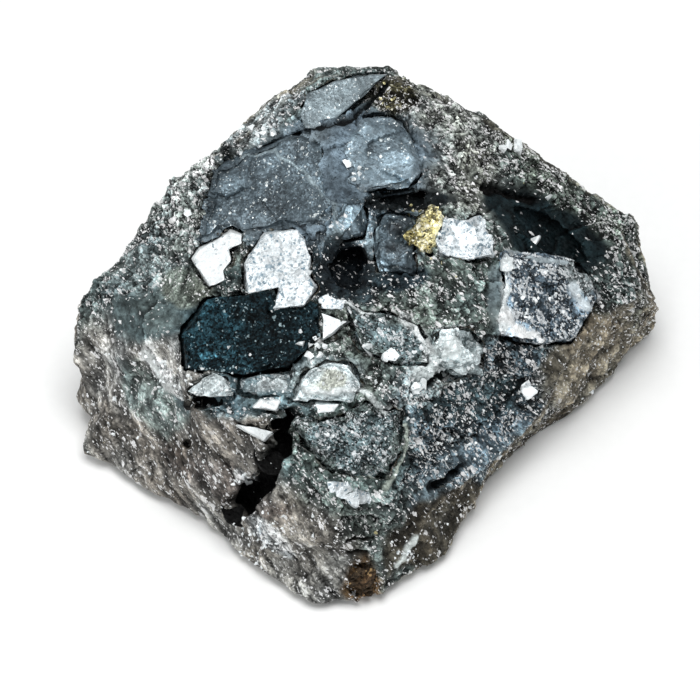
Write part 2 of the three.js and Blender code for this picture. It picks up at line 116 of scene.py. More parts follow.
def rolling(places: Array, size: float, seed: int, octaves: int = 1) -> Array:
    """Smooth random relief.

    Args:
        places: Points in millimetres.
        size: Width of the widest swell, in millimetres.
        seed: Picks the pattern.
        octaves: How many times the pattern is repeated at half the size and half the height.

    Returns:
        A height from about -1 to 1 for each point.
    """
    total = np.zeros(len(places))
    height, reach = 1.0, 0.0
    for octave in range(octaves):
        scaled = places / size * 2**octave
        base = np.floor(scaled).astype(np.int64)
        part = scaled - base
        part = part * part * (3 - 2 * part)
        for corner in product((0, 1), repeat=3):
            share = np.prod(np.where(corner, part, 1 - part), axis=1)
            total += height * share * (2 * hashed(base + np.array(corner), seed + octave) - 1)
        reach += height
        height *= 0.5
    return total / reach


@dataclass(frozen=True)
class Swell:
    """Smooth random relief of one width.

    Attributes:
        height: Its height in millimetres, or its share where it changes a brightness.
        size: Width of its widest swell, in millimetres.
        seed: Picks the pattern.
        octaves: How many times it is repeated at half the size and half the height.
    """

    height: float
    size: float
    seed: int
    octaves: int = 2

    def at(self, places: Array) -> Array:
        """Height of the relief at each place."""
        return self.height * rolling(places, self.size, self.seed, self.octaves)


@dataclass(frozen=True)
class GrainKind:
    """One size of grain, and how its flat faces stand.

    Attributes:
        size: Mean distance between grain middles, in millimetres.
        seed: Picks the pattern.
        slope: Rise of a face for each millimetre along it.
        step: Most that one grain stands above or below the mean, in millimetres.
    """

    size: float
    seed: int
    slope: float
    step: float


@dataclass
class Grains:
    """Random grains that fill space, each with its own middle, tilt and luck."""

    kind: GrainKind
    near: Array
    gap: Array
    middle: Array
    tilt: Array
    luck: Array

    @classmethod
    def among(cls, places: Array, kind: GrainKind) -> "Grains":
        """Finds the grain that each place belongs to.

        Args:
            places: Points in millimetres.
            kind: Size and pattern of the grains.

        Returns:
            For each point, the distance to its grain's middle, how much further the next one is, that
            middle, a random direction and a random number that are the same all over the grain.
        """
        size, seed = kind.size, kind.seed
        scaled = places / size
        base = np.floor(scaled).astype(np.int64)
        best = np.full(len(places), FAR)
        second = best.copy()
        middle = np.zeros_like(scaled)
        home = base.copy()
        for offset in product((-1, 0, 1), repeat=3):
            cell = base + np.array(offset)
            point = cell + np.stack([hashed(cell, seed + k) for k in range(3)], axis=1)
            apart = np.linalg.norm(point - scaled, axis=1)
            nearer = apart < best
            second = np.where(nearer, best, np.minimum(second, apart))
            best = np.where(nearer, apart, best)
            middle[nearer] = point[nearer]
            home[nearer] = cell[nearer]
        tilt = np.stack([hashed(home, seed + 5 + k) for k in range(3)], axis=1) * 2 - 1
        luck = hashed(home, seed + 11)
        return cls(kind, best * size, (second - best) * size, middle * size, tilt, luck)

    def facets(self, places: Array) -> Array:
        """Height of flat, tilted grain faces.

        Args:
            places: The points that the grains were found for, in millimetres.

        Returns:
            Height of each point, in millimetres.
        """
        along = np.einsum("ij,ij->i", places - self.middle, self.tilt)
        return along * self.kind.slope + (self.luck * 2 - 1) * self.kind.step


def smooth(low: float, high: float, values: Array) -> Array:
    """Soft step from 0 to 1 between low and high, which may be given in falling order."""
    part = np.clip((values - low) / (high - low), 0, 1)
    return part * part * (3 - 2 * part)


def on_face(places: Array) -> Array:
    """Turns points in the resting frame to places across, up and out of the crystal face, in mm."""
    return (places - FACE_ORIGIN) @ FACE_AXES.T


def off_face(places: Array) -> Array:
    """Turns places across, up and out of the crystal face to points in the resting frame, in mm."""
    return places @ FACE_AXES + FACE_ORIGIN


@dataclass
class Skin:
    """A closed triangle surface in millimetres, with what is painted on it."""

    points: Array
    faces: Array
    tint: Array | None = None
    grit: Array | None = None

    @classmethod
    def of(cls, mesh: bpy.types.Mesh, scale: float = 1 / MM) -> "Skin":
        """Reads a Blender mesh.

        Args:
            mesh: The mesh to read.
            scale: Millimetres for each of its units.

        Returns:
            Its surface in millimetres.
        """
        mesh.calc_loop_triangles()
        points = np.empty(len(mesh.vertices) * 3)
        faces = np.empty(len(mesh.loop_triangles) * 3, np.int32)
        mesh.vertices.foreach_get("co", points)
        mesh.loop_triangles.foreach_get("vertices", faces)
        return cls(points.reshape(-1, 3) * scale, faces.reshape(-1, 3))

    @classmethod
    def joined(cls, skins: list["Skin"]) -> "Skin":
        """Puts several surfaces into one, without cutting them.

        Args:
            skins: The surfaces.

        Returns:
            One surface that holds them all.
        """
        starts = np.cumsum([0] + [len(s.points) for s in skins[:-1]])
        faces = [s.faces + start for s, start in zip(skins, starts)]
        return cls(np.vstack([s.points for s in skins]), np.vstack(faces))

    def face_vectors(self) -> Array:
        """Each face's direction, as long as twice its area."""
        a, b, c = (self.points[self.faces[:, k]] for k in range(3))
        return np.cross(b - a, c - a)

    def normals(self) -> Array:
        """Direction out of the surface at each point."""
        flat = self.face_vectors()
        total = np.zeros_like(self.points)
        for axis in range(3):
            for corner in range(3):
                total[:, axis] += np.bincount(self.faces[:, corner], flat[:, axis], len(self.points))
        return total / np.maximum(np.linalg.norm(total, axis=1, keepdims=True), 1e-12)

    def smoothed(self, values: Array, rounds: int) -> Array:
        """Averages values over neighbouring points.

        Args:
            values: One value or row of values for each point.
            rounds: How many times each point takes the mean of its neighbours.

        Returns:
            The averaged values, in the same shape.
        """
        flat = values.reshape(len(values), -1).astype(float)
        ends = np.vstack([self.faces[:, [0, 1]], self.faces[:, [1, 2]], self.faces[:, [2, 0]]])
        count = np.bincount(ends[:, 0], minlength=len(flat)) + np.bincount(ends[:, 1], minlength=len(flat))
        for _ in range(rounds):
            total = np.zeros_like(flat)
            for axis in range(flat.shape[1]):
                total[:, axis] = np.bincount(ends[:, 0], flat[ends[:, 1], axis], len(flat))
                total[:, axis] += np.bincount(ends[:, 1], flat[ends[:, 0], axis], len(flat))
            flat = total / np.maximum(count, 1)[:, None]
        return flat.reshape(values.shape)

    def to_mesh(self, name: str, scale: float = MM) -> bpy.types.Mesh:
        """Makes a Blender mesh of the surface.

        Args:
            name: The mesh's name.
            scale: Mesh units for each millimetre.

        Returns:
            The mesh, with its tint and its grit as attributes where it has them.
        """
        mesh = bpy.data.meshes.new(name)
        mesh.vertices.add(len(self.points))
        mesh.vertices.foreach_set("co", (self.points * scale).ravel())
        mesh.loops.add(self.faces.size)
        mesh.loops.foreach_set("vertex_index", self.faces.ravel())
        mesh.polygons.add(len(self.faces))
        mesh.polygons.foreach_set("loop_start", np.arange(0, self.faces.size, 3))
        mesh.update(calc_edges=True)
        mesh.validate()
        if self.tint is not None:
            layer = mesh.attributes.new("tint", "FLOAT_COLOR", "POINT")
            layer.data.foreach_set("color", np.column_stack([self.tint, np.ones(len(self.tint))]).ravel())
            grit = np.ones(len(self.points)) if self.grit is None else self.grit
            mesh.attributes.new("grit", "FLOAT", "POINT").data.foreach_set("value", grit)
        return mesh


def changed(skin: Skin, kind: str, hidden: Array | None = None, **settings: object) -> Skin:
    """Runs one of Blender's modifiers over a surface.

    Args:
        skin: The surface, in millimetres.
        kind: The modifier's type.
        hidden: For each point, how far the modifier works there, in quarters from 0 to 1.
        **settings: The modifier's own options.

    Returns:
        The changed surface.
    """
    body = bpy.data.objects.new("changing", skin.to_mesh("changing", 1.0))
    bpy.context.scene.collection.objects.link(body)
    change = body.modifiers.new("change", kind)
    for name, value in settings.items():
        setattr(change, name, value)
    if hidden is not None:
        group = body.vertex_groups.new(name="hidden")
        for weight in (0.25, 0.5, 0.75, 1.0):
            chosen = np.flatnonzero(np.abs(hidden - weight) <= 0.125)
            group.add(chosen.tolist(), weight, "REPLACE")
        change.vertex_group = "hidden"
    depsgraph = bpy.context.evaluated_depsgraph_get()
    made = bpy.data.meshes.new_from_object(body.evaluated_get(depsgraph))
    bpy.data.objects.remove(body)
    return Skin.of(made, 1.0)


def add_hull(body: bmesh.types.BMesh, points: Array) -> None:
    """Adds the smallest convex solid that holds some points.

    Args:
        body: The mesh that it goes into.
        points: The points.
    """
    hull = bmesh.ops.convex_hull(body, input=[body.verts.new(point) for point in points])
    spare = {v for v in hull["geom_interior"] + hull["geom_unused"] if isinstance(v, bmesh.types.BMVert)}
    bmesh.ops.delete(body, geom=[v for v in spare if v.is_valid], context="VERTS")


def add_piece(name: str, skin: Skin, finish: "Finish", crease: float) -> bpy.types.Object:
    """Makes a shown piece that rides on the specimen.

    Args:
        name: The piece's name.
        skin: Its surface, in millimetres.
        finish: What it is made of.
        crease: Angle in degrees past which neighbouring faces meet in a hard edge.

    Returns:
        The Blender object, dressed and riding.
    """
    mesh = skin.to_mesh(name)
    mesh.materials.append(finish.material())
    mesh.polygons.foreach_set("use_smooth", np.ones(len(mesh.polygons), bool))
    mesh.set_sharp_from_angle(angle=math.radians(crease))
    piece = bpy.data.objects.new(name, mesh)
    bpy.context.scene.collection.objects.link(piece)
    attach(piece, "root")
    return piece


# Finishes


def add_node(
    tree: bpy.types.NodeTree, kind: str, inputs: dict[str | int, object] | None = None, **choices: object
) -> bpy.types.Node:
    """Adds one shader node.

    Args:
        tree: The node tree it goes into.
        kind: The node's type.
        inputs: For each input, by name or number, its value or the output that feeds it.
        **choices: The node's own options.

    Returns:
        The node.
    """
    node = tree.nodes.new(kind)
    for name, value in choices.items():
        setattr(node, name, value)
    for name, value in (inputs or {}).items():
        if isinstance(value, bpy.types.NodeSocket):
            tree.links.new(value, node.inputs[name])
        else:
            node.inputs[name].default_value = value
    return node


def worked(
    tree: bpy.types.NodeTree, operation: str, *inputs: object, vectors: bool = False
) -> bpy.types.NodeSocket:
    """Works out one step of a shader's arithmetic.

    Args:
        tree: The node tree it goes into.
        operation: The step, as its node names it.
        *inputs: The values or outputs that it works on, in order.
        vectors: Whether they are vectors.

    Returns:
        The result.
    """
    kind = "ShaderNodeVectorMath" if vectors else "ShaderNodeMath"
    return add_node(tree, kind, dict(enumerate(inputs)), operation=operation).outputs[0]


# Swarms of bright flecks: their width in millimetres, the noise they come from, how thickly flecks lie
SWARM_WIDTH = 1.1
SWARM_NOISE = (0.42, 0.7)
SWARM_THICKNESS = (0.1, 3.2)
# Flecks of each size: width against a grain's, and share of all the flecks
FLECK_SIZES = ((0.75, 0.55), (1.4, 0.33), (2.2, 0.12))
# How much of its colour the dullest and the brightest fleck shows
FLECK_LIGHT = (0.45, 1.0)
# Noise at which tarnish is darkest and lightest
CLOUD_NOISE = (0.32, 0.68)
# Width and reach of the bends in the grain pattern, against a grain's width
BEND_WIDTH = 1.6
BEND_REACH = 1.3
BUMP_STRENGTH = 0.8


@dataclass(frozen=True)
class Finish:
    """A mineral and the way its surface grew or broke.

    Attributes:
        name: The material's name.
        slot: Name of a material slot; not used.
        colour: The mineral's own colour.
        tones: Brightness of its darkest and lightest grain, against that colour.
        skew: How rare its light grains are, from 1, as common as the dark ones.
        grain: Width of a grain, in millimetres.
        cloud: Width of the patches of thinner and thicker tarnish, in millimetres.
        clouding: How far such a patch is darker or lighter.
        fleck: Colour of the flecks; where it is white, freshly broken grains with the glint of the light
            painted into their colour.
        flecks: Share of the surface that they take.
        metallic: How much of it reflects as a metal.
        roughness: Roughness of its smoothest and roughest grain.
        tilt: How far the grains' faces turn from the surface.
        relief: Height of the finest relief, in millimetres.
        specular: Strength of its shine; half the usual or less where hollows finer than a grain hold it.
        stretch: Length of a grain against its width, along the splintered layers of the mass.
    """

    name: str
    slot: str
    colour: str
    tones: tuple[float, float] = (0.7, 1.3)
    skew: float = 1.0
    grain: float = 0.25
    cloud: float = 2.0
    clouding: float = 0.3
    fleck: str = "#e6eded"
    flecks: float = 0.03
    metallic: float = 0.6
    roughness: tuple[float, float] = (0.3, 0.6)
    tilt: float = 0.3
    relief: float = 0.05
    specular: float = 0.5
    stretch: float = 1.0

    def material(self) -> bpy.types.Material:
        """Makes the material once, and finds it again after that.

        Returns:
            The Blender material.
        """
        if self.name in bpy.data.materials:
            return bpy.data.materials[self.name]
        made = bpy.data.materials.new(self.name)
        made.use_nodes = True
        tree = made.node_tree
        tree.nodes.clear()
        place = self.squeezed(tree, add_node(tree, "ShaderNodeTexCoord").outputs["Object"])
        painted = add_node(tree, "ShaderNodeAttribute", attribute_name="tint").outputs["Color"]
        grit = add_node(tree, "ShaderNodeAttribute", attribute_name="grit").outputs["Fac"]
        bent = self.bent(tree, place)
        grains = self.cells(tree, bent, self.grain)
        clouds = self.clouds(tree, place, self.cloud)
        swarms = self.ranged(tree, self.clouds(tree, place, SWARM_WIDTH), SWARM_NOISE, SWARM_THICKNESS)
        mostly_dark = worked(tree, "POWER", grains.outputs["Red"], self.skew)
        tone = self.ranged(tree, mostly_dark, (0, 1), self.tones)
        tone = add_node(tree, "ShaderNodeMix", {0: grit, 2: 1.0, 3: tone}).outputs[0]
        patch = self.ranged(tree, clouds, CLOUD_NOISE, (1 - self.clouding, 1 + self.clouding))
        shade = worked(tree, "MULTIPLY", tone, patch)
        own = worked(tree, "MULTIPLY", linear(self.colour)[:3], painted, vectors=True)
        scaled = {0: own, "Scale": shade}
        shaded = add_node(tree, "ShaderNodeVectorMath", scaled, operation="SCALE").outputs[0]
        mixed = {0: self.fleck_share(tree, bent, grit, swarms), 6: shaded, 7: linear(self.fleck)}
        surface = {
            "Base Color": add_node(tree, "ShaderNodeMix", mixed, data_type="RGBA").outputs[2],
            "Metallic": self.metallic,
            "Roughness": self.ranged(tree, grains.outputs["Green"], (0, 1), self.roughness),
            "Specular IOR Level": self.specular,
            "Normal": self.normal(tree, place, grains, clouds),
        }
        shader = add_node(tree, "ShaderNodeBsdfPrincipled", surface)
        add_node(tree, "ShaderNodeOutputMaterial", {"Surface": shader.outputs[0]})
        return made

    def squeezed(self, tree: bpy.types.NodeTree, place: bpy.types.NodeSocket) -> bpy.types.NodeSocket:
        """Shortens distances along the splintered layers, so that grains come out longer that way.

        Args:
            tree: The material's node tree.
            place: Where on the piece, in metres.

        Returns:
            The squeezed place, in metres.
        """
        if self.stretch == 1:
            return place
        kind = "ShaderNodeVectorMath"
        along = add_node(tree, kind, {0: place, 1: LAYERS}, operation="DOT_PRODUCT").outputs["Value"]
        shorter = [part * (1 / self.stretch - 1) for part in LAYERS]
        shift = add_node(tree, kind, {0: shorter, "Scale": along}, operation="SCALE").outputs[0]
        return worked(tree, "ADD", place, shift, vectors=True)

    def bent(self, tree: bpy.types.NodeTree, place: bpy.types.NodeSocket) -> bpy.types.NodeSocket:
        """Bends the grain pattern a little, so that no grain is a neat polygon.

        Args:
            tree: The material's node tree.
            place: Where on the piece, in metres.

        Returns:
            The bent place, in metres.
        """
        swells = {"Vector": place, "Scale": 1 / (BEND_WIDTH * self.grain * MM), "Detail": 2.0}
        noise = add_node(tree, "ShaderNodeTexNoise", swells).outputs["Color"]
        return worked(tree, "MULTIPLY_ADD", noise, (BEND_REACH * self.grain * MM,) * 3, place, vectors=True)

    def clouds(
        self, tree: bpy.types.NodeTree, place: bpy.types.NodeSocket, width: float
    ) -> bpy.types.NodeSocket:
        """Soft uneven patches.

        Args:
            tree: The material's node tree.
            place: Where on the piece, in metres.
            width: Width of a patch, in millimetres.

        Returns:
            A value round 0.5.
        """
        swells = {"Vector": place, "Scale": 1 / (width * MM), "Detail": 5.0, "Roughness": 0.65}
        return add_node(tree, "ShaderNodeTexNoise", swells).outputs["Fac"]

    def fleck_share(
        self,
        tree: bpy.types.NodeTree,
        place: bpy.types.NodeSocket,
        grit: bpy.types.NodeSocket,
        swarms: bpy.types.NodeSocket,
    ) -> bpy.types.NodeSocket:
        """Where the bright flecks are, in swarms of small ones with a few larger.

        Args:
            tree: The material's node tree.
            place: Where on the piece, in metres.
            grit: How gritty the surface is there.
            swarms: How thickly flecks lie there.

        Returns:
            From 0, none, to 1, a full bright fleck.
        """
        thick = worked(tree, "MULTIPLY", grit, swarms)
        shares = []
        for width, part in FLECK_SIZES:
            luck = self.cells(tree, place, self.grain * width)
            reach = worked(tree, "MULTIPLY_ADD", thick, self.flecks * part, luck.outputs["Green"])
            found = worked(tree, "GREATER_THAN", reach, 1.0)
            bright = self.ranged(tree, luck.outputs["Blue"], (0, 1), FLECK_LIGHT)
            shares.append(worked(tree, "MULTIPLY", found, bright))
        largest = shares[0]
        for share in shares[1:]:
            largest = worked(tree, "MAXIMUM", largest, share)
        return largest

    def cells(self, tree: bpy.types.NodeTree, place: bpy.types.NodeSocket, width: float) -> bpy.types.Node:
        """Three random numbers for each grain.

        Args:
            tree: The material's node tree.
            place: Where on the piece, in metres.
            width: Width of a grain, in millimetres.

        Returns:
            A node with the numbers as Red, Green and Blue.
        """
        cell = add_node(tree, "ShaderNodeTexVoronoi", {"Vector": place, "Scale": 1 / (width * MM)})
        return add_node(tree, "ShaderNodeSeparateColor", {"Color": cell.outputs["Color"]})

    def ranged(
        self,
        tree: bpy.types.NodeTree,
        value: bpy.types.NodeSocket,
        before: tuple[float, float],
        after: tuple[float, float],
    ) -> bpy.types.NodeSocket:
        """Stretches a value from one range to another.

        Args:
            tree: The material's node tree.
            value: The value.
            before: The range it comes in.
            after: The range it goes out in.

        Returns:
            The stretched value.
        """
        return add_node(tree, "ShaderNodeMapRange", dict(enumerate((value, *before, *after)))).outputs[0]

    def normal(
        self,
        tree: bpy.types.NodeTree,
        place: bpy.types.NodeSocket,
        grains: bpy.types.Node,
        clouds: bpy.types.NodeSocket,
    ) -> bpy.types.NodeSocket:
        """Turns each grain's face a little its own way and adds the finest relief.

        Args:
            tree: The material's node tree.
            place: Where on the piece, in metres.
            grains: The random numbers of each grain.
            clouds: The tarnish pattern, which is also very slightly raised.

        Returns:
            The shading normal.
        """
        lean = add_node(tree, "ShaderNodeCombineXYZ", dict(enumerate(grains.outputs))).outputs[0]
        centred = worked(tree, "SUBTRACT", lean, (0.5, 0.5, 0.5), vectors=True)
        surface = add_node(tree, "ShaderNodeNewGeometry").outputs["Normal"]
        turned = worked(tree, "MULTIPLY_ADD", centred, (2 * self.tilt,) * 3, surface, vectors=True)
        finest = {"Vector": place, "Scale": 2 / (self.grain * MM), "Detail": 3.0}
        fine = add_node(tree, "ShaderNodeTexNoise", finest).outputs["Fac"]
        bump = {
            "Strength": BUMP_STRENGTH,
            "Distance": self.relief * MM,
            "Height": worked(tree, "ADD", fine, clouds),
            "Normal": worked(tree, "NORMALIZE", turned, vectors=True),
        }
        return add_node(tree, "ShaderNodeBump", bump).outputs[0]


# Grains of these minerals go down to about 0.02 mm, which is too fine to show. The finest are drawn 0.16 to
# 0.25 mm wide, as coarse as they need to be to show.

# Broken ore, fine arsenide grains in dark gangue: gritty and dull, with white flecks on the fresh grains
# that are painted glints of the light.
ORE = Finish(
    "skutterudite_ore_broken",
    "ore",
    "#ffffff",
    tones=(0.06, 2.7),
    grain=0.17,
    cloud=1.6,
    clouding=0.55,
    flecks=0.25,
    metallic=0.3,
    roughness=(0.35, 0.8),
    tilt=0.7,
    relief=0.12,
    skew=1.6,
    fleck="#ffffff",
    specular=0.2,
    stretch=1.9,
)
# Grown arsenide faces, tarnished in air: smooth and steel grey, with dust and scuffs.
TARNISHED = Finish(
    "skutterudite_grown_tarnished",
    "tarnished_arsenide",
    "#5f6d75",
    tones=(0.6, 1.45),
    grain=0.16,
    cloud=2.6,
    clouding=0.5,
    flecks=0.03,
    metallic=0.5,
    roughness=(0.35, 0.5),
    tilt=0.2,
    relief=0.03,
)
# Arsenide crystal covered with small grown grains: sugary, half bright and half dark, with white flecks
# that are painted glints.
GRANULAR = Finish(
    "skutterudite_grown_granular",
    "granular_arsenide",
    "#505d67",
    tones=(0.1, 2.6),
    grain=0.2,
    cloud=1.8,
    clouding=0.5,
    flecks=0.36,
    metallic=0.35,
    roughness=(0.25, 0.6),
    tilt=0.5,
    relief=0.1,
    skew=1.5,
    specular=0.25,
    fleck="#f4f8fa",
    stretch=1.4,
)
# Arsenide coloured blue-black: a dark mirror with dull specks.
DARK = Finish(
    "skutterudite_grown_blue_black",
    "dark_arsenide",
    "#15262c",
    tones=(0.15, 2.5),
    grain=0.18,
    cloud=1.5,
    clouding=0.8,
    fleck="#93a7ac",
    flecks=0.035,
    metallic=0.85,
    roughness=(0.3, 0.55),
    tilt=0.4,
    relief=0.06,
    skew=1.4,
)
# Freshly cleaved arsenide: tin-white metal with small dark pits. It has little metal shine, and its
# near-white colour is partly painted reflection of the light.
FRESH_WITH_PAINTED_REFLECTION = Finish(
    "skutterudite_cleaved_fresh_painted_reflection",
    "fresh_arsenide",
    "#f4f9fa",
    tones=(0.88, 1.05),
    grain=0.2,
    cloud=1.2,
    clouding=0.06,
    fleck="#6f838d",
    flecks=0.02,
    metallic=0.15,
    roughness=(0.22, 0.5),
    tilt=0.16,
    relief=0.05,
)
# The same metal where small pits are strewn over the cleavage: white, with a fine blue-grey mottle; its
# white is partly painted reflection of the light.
PITTED_WITH_PAINTED_REFLECTION = Finish(
    "skutterudite_cleaved_pitted_painted_reflection",
    "fresh_arsenide",
    "#eef5f8",
    tones=(0.7, 1.14),
    grain=0.22,
    cloud=1.3,
    clouding=0.2,
    fleck="#6c8492",
    flecks=0.22,
    metallic=0.15,
    roughness=(0.22, 0.5),
    tilt=0.3,
    relief=0.08,
)
# Dark crystal dusted with fine grown grains: blue-grey mottle over blue-black, with white flecks that are
# painted glints.
MOTTLED = Finish(
    "skutterudite_grown_dusted",
    "dark_arsenide",
    "#5d6c6f",
    tones=(0.1, 2.6),
    grain=0.17,
    cloud=1.3,
    clouding=0.6,
    flecks=0.24,
    metallic=0.3,
    roughness=(0.3, 0.6),
    tilt=0.6,
    relief=0.09,
    skew=1.6,
    specular=0.25,
    fleck="#f4f8fa",
    stretch=1.4,
)
# Arsenide with a thin dull film: pale grey, satin, with white flecks that are painted glints.
PALE = Finish(
    "skutterudite_cleaved_filmed",
    "pale_arsenide",
    "#d3dee0",
    tones=(0.5, 1.4),
    grain=0.18,
    cloud=1.4,
    clouding=0.4,
    flecks=0.12,
    metallic=0.3,
    roughness=(0.3, 0.55),
    tilt=0.35,
    relief=0.05,
    fleck="#f6fafb",
)
# Chalcopyrite, broken: brassy yellow, patchy olive tarnish, with pale flecks that are painted glints.
CHALCOPYRITE = Finish(
    "chalcopyrite_broken",
    "chalcopyrite",
    "#c6bd8e",
    tones=(0.15, 2.3),
    grain=0.22,
    cloud=1.2,
    clouding=0.45,
    fleck="#f4f2e2",
    flecks=0.25,
    metallic=0.5,
    roughness=(0.2, 0.5),
    tilt=0.5,
    relief=0.1,
    skew=1.1,
)
# Limonite, weathered out of the ore: earthy rust brown, no shine.
LIMONITE = Finish(
    "limonite_weathered",
    "limonite",
    "#675039",
    tones=(0.3, 1.9),
    grain=0.25,
    cloud=1.0,
    clouding=0.5,
    fleck="#c9a878",
    flecks=0.03,
    metallic=0.0,
    roughness=(0.75, 0.95),
    tilt=0.5,
    relief=0.15,
    specular=0.25,
)


# Painting: stretches of the surface


def ragged_edge(face: Array) -> Array:
    """How far the ragged edge of a stretch strays at each place, from about -1 to 1."""
    return rolling(face, 2.5, 71, 3)


def wandering(face: Array) -> Array:
    """Shifts places on the crystal face's plane to and fro, so that no seam is straight."""
    return face[:, :2] + 0.45 * np.column_stack([rolling(face, 1.2, 81, 3), rolling(face, 1.2, 83, 3)])


@dataclass(frozen=True)
class Oval:
    """An oval stretch of the surface.

    Attributes:
        name: What it is.
        across, up: Its middle on the crystal face's plane, in millimetres.
        long, wide: Half its length and half its width, in millimetres.
        turn: Direction of its length, in degrees up from the across axis.
    """

    name: str
    across: float
    up: float
    long: float
    wide: float
    turn: float

    def share(self, face: Array, ragged: Array) -> Array:
        """How far each place belongs to the stretch.

        Args:
            face: Places on the crystal face's plane.
            ragged: How far a ragged edge strays at each, from about -1 to 1.

        Returns:
            From 0, outside, to 1, inside, with a ragged edge.
        """
        angle = math.radians(self.turn)
        right, rise = face[:, 0] - self.across, face[:, 1] - self.up
        along = (right * math.cos(angle) + rise * math.sin(angle)) / self.long
        aside = (-right * math.sin(angle) + rise * math.cos(angle)) / self.wide
        return smooth(1.2, 0.8, np.hypot(along, aside) + ragged * min(0.5, 1.2 / self.wide))


@dataclass(frozen=True)
class Zone(Oval):
    """A stretch of the ore with its own look.

    Attributes:
        colour: Mean colour of the ore there; in the darkest hollows, painted shade.
        grain: How coarse and raised the grains are, from 0, smooth, to 1.
        streak: How far splintered streaks run down it, from 0 to 1.
        bare: Whether no loose grains sit on it.
    """

    colour: str
    grain: float
    streak: float = 0.0
    bare: bool = False


@dataclass(frozen=True)
class Shade(Oval):
    """A lighter or darker stretch of one crystal: a stain, a painted highlight or painted shade.

    Attributes:
        tone: Its brightness against the rest of the crystal.
        tinge: Colour that it is tinged with.
    """

    tone: float
    tinge: str = "#ffffff"


@dataclass(frozen=True)
class Seam:
    """A thin line in the ore: a crack where it is sunk, the edge of a crystal where it is raised.

    Attributes:
        name: What it is.
        path: Its corners on the crystal face's plane, in millimetres.
        half_width: Half its width, in millimetres.
        rise: Its height, or minus its depth, in millimetres.
        colour: Its colour; near black on a sunk seam, as painted shade, and pale to white on the bright
            raised edges and streaks, as painted highlights.
    """

    name: str
    path: tuple[tuple[float, float], ...]
    half_width: float
    rise: float
    colour: str

    def share(self, flat: Array) -> Array:
        """How far each place belongs to the seam.

        Args:
            flat: Places on the crystal face's plane, shifted to and fro.

        Returns:
            From 0 to 1, with ragged sides.
        """
        away = np.full(len(flat), FAR)
        for start, end in zip(self.path, self.path[1:]):
            first, run = np.array(start), np.array(end) - np.array(start)
            part = np.clip((flat - first) @ run / (run @ run), 0, 1)
            away = np.minimum(away, np.linalg.norm(flat - first - part[:, None] * run, axis=1))
        near = away < 2 * self.half_width
        places = np.column_stack([flat[near], np.zeros(near.sum())])
        away[near] *= 1 + 0.55 * rolling(places, 0.9, 77, 3)
        return smooth(1.0, 0.35, away / self.half_width)

    def drawn(self, flat: Array, front: Array, rise: Array, tint: Array, own: Array) -> Array:
        """Draws the seam into a surface's relief and colour, in place.

        Args:
            flat: Places on the crystal face's plane, shifted to and fro.
            front: 1 where the surface faces the same way as the crystal face, 0 where it turns away.
            rise: Relief at each place, in millimetres.
            tint: Colour at each place, against the surface's own.
            own: The surface's own linear colour.

        Returns:
            How far each place belongs to the seam.
        """
        share = self.share(flat) * front
        rise += self.rise * share
        tint += (np.array(linear(self.colour)[:3]) / own - tint) * share[:, None]
        return share


GROUND = "#5b6563"
FLANK_TAUPE = "#6f6b65"
FLANK_OLIVE = "#5a554a"
BACK_GREY = "#5c6260"
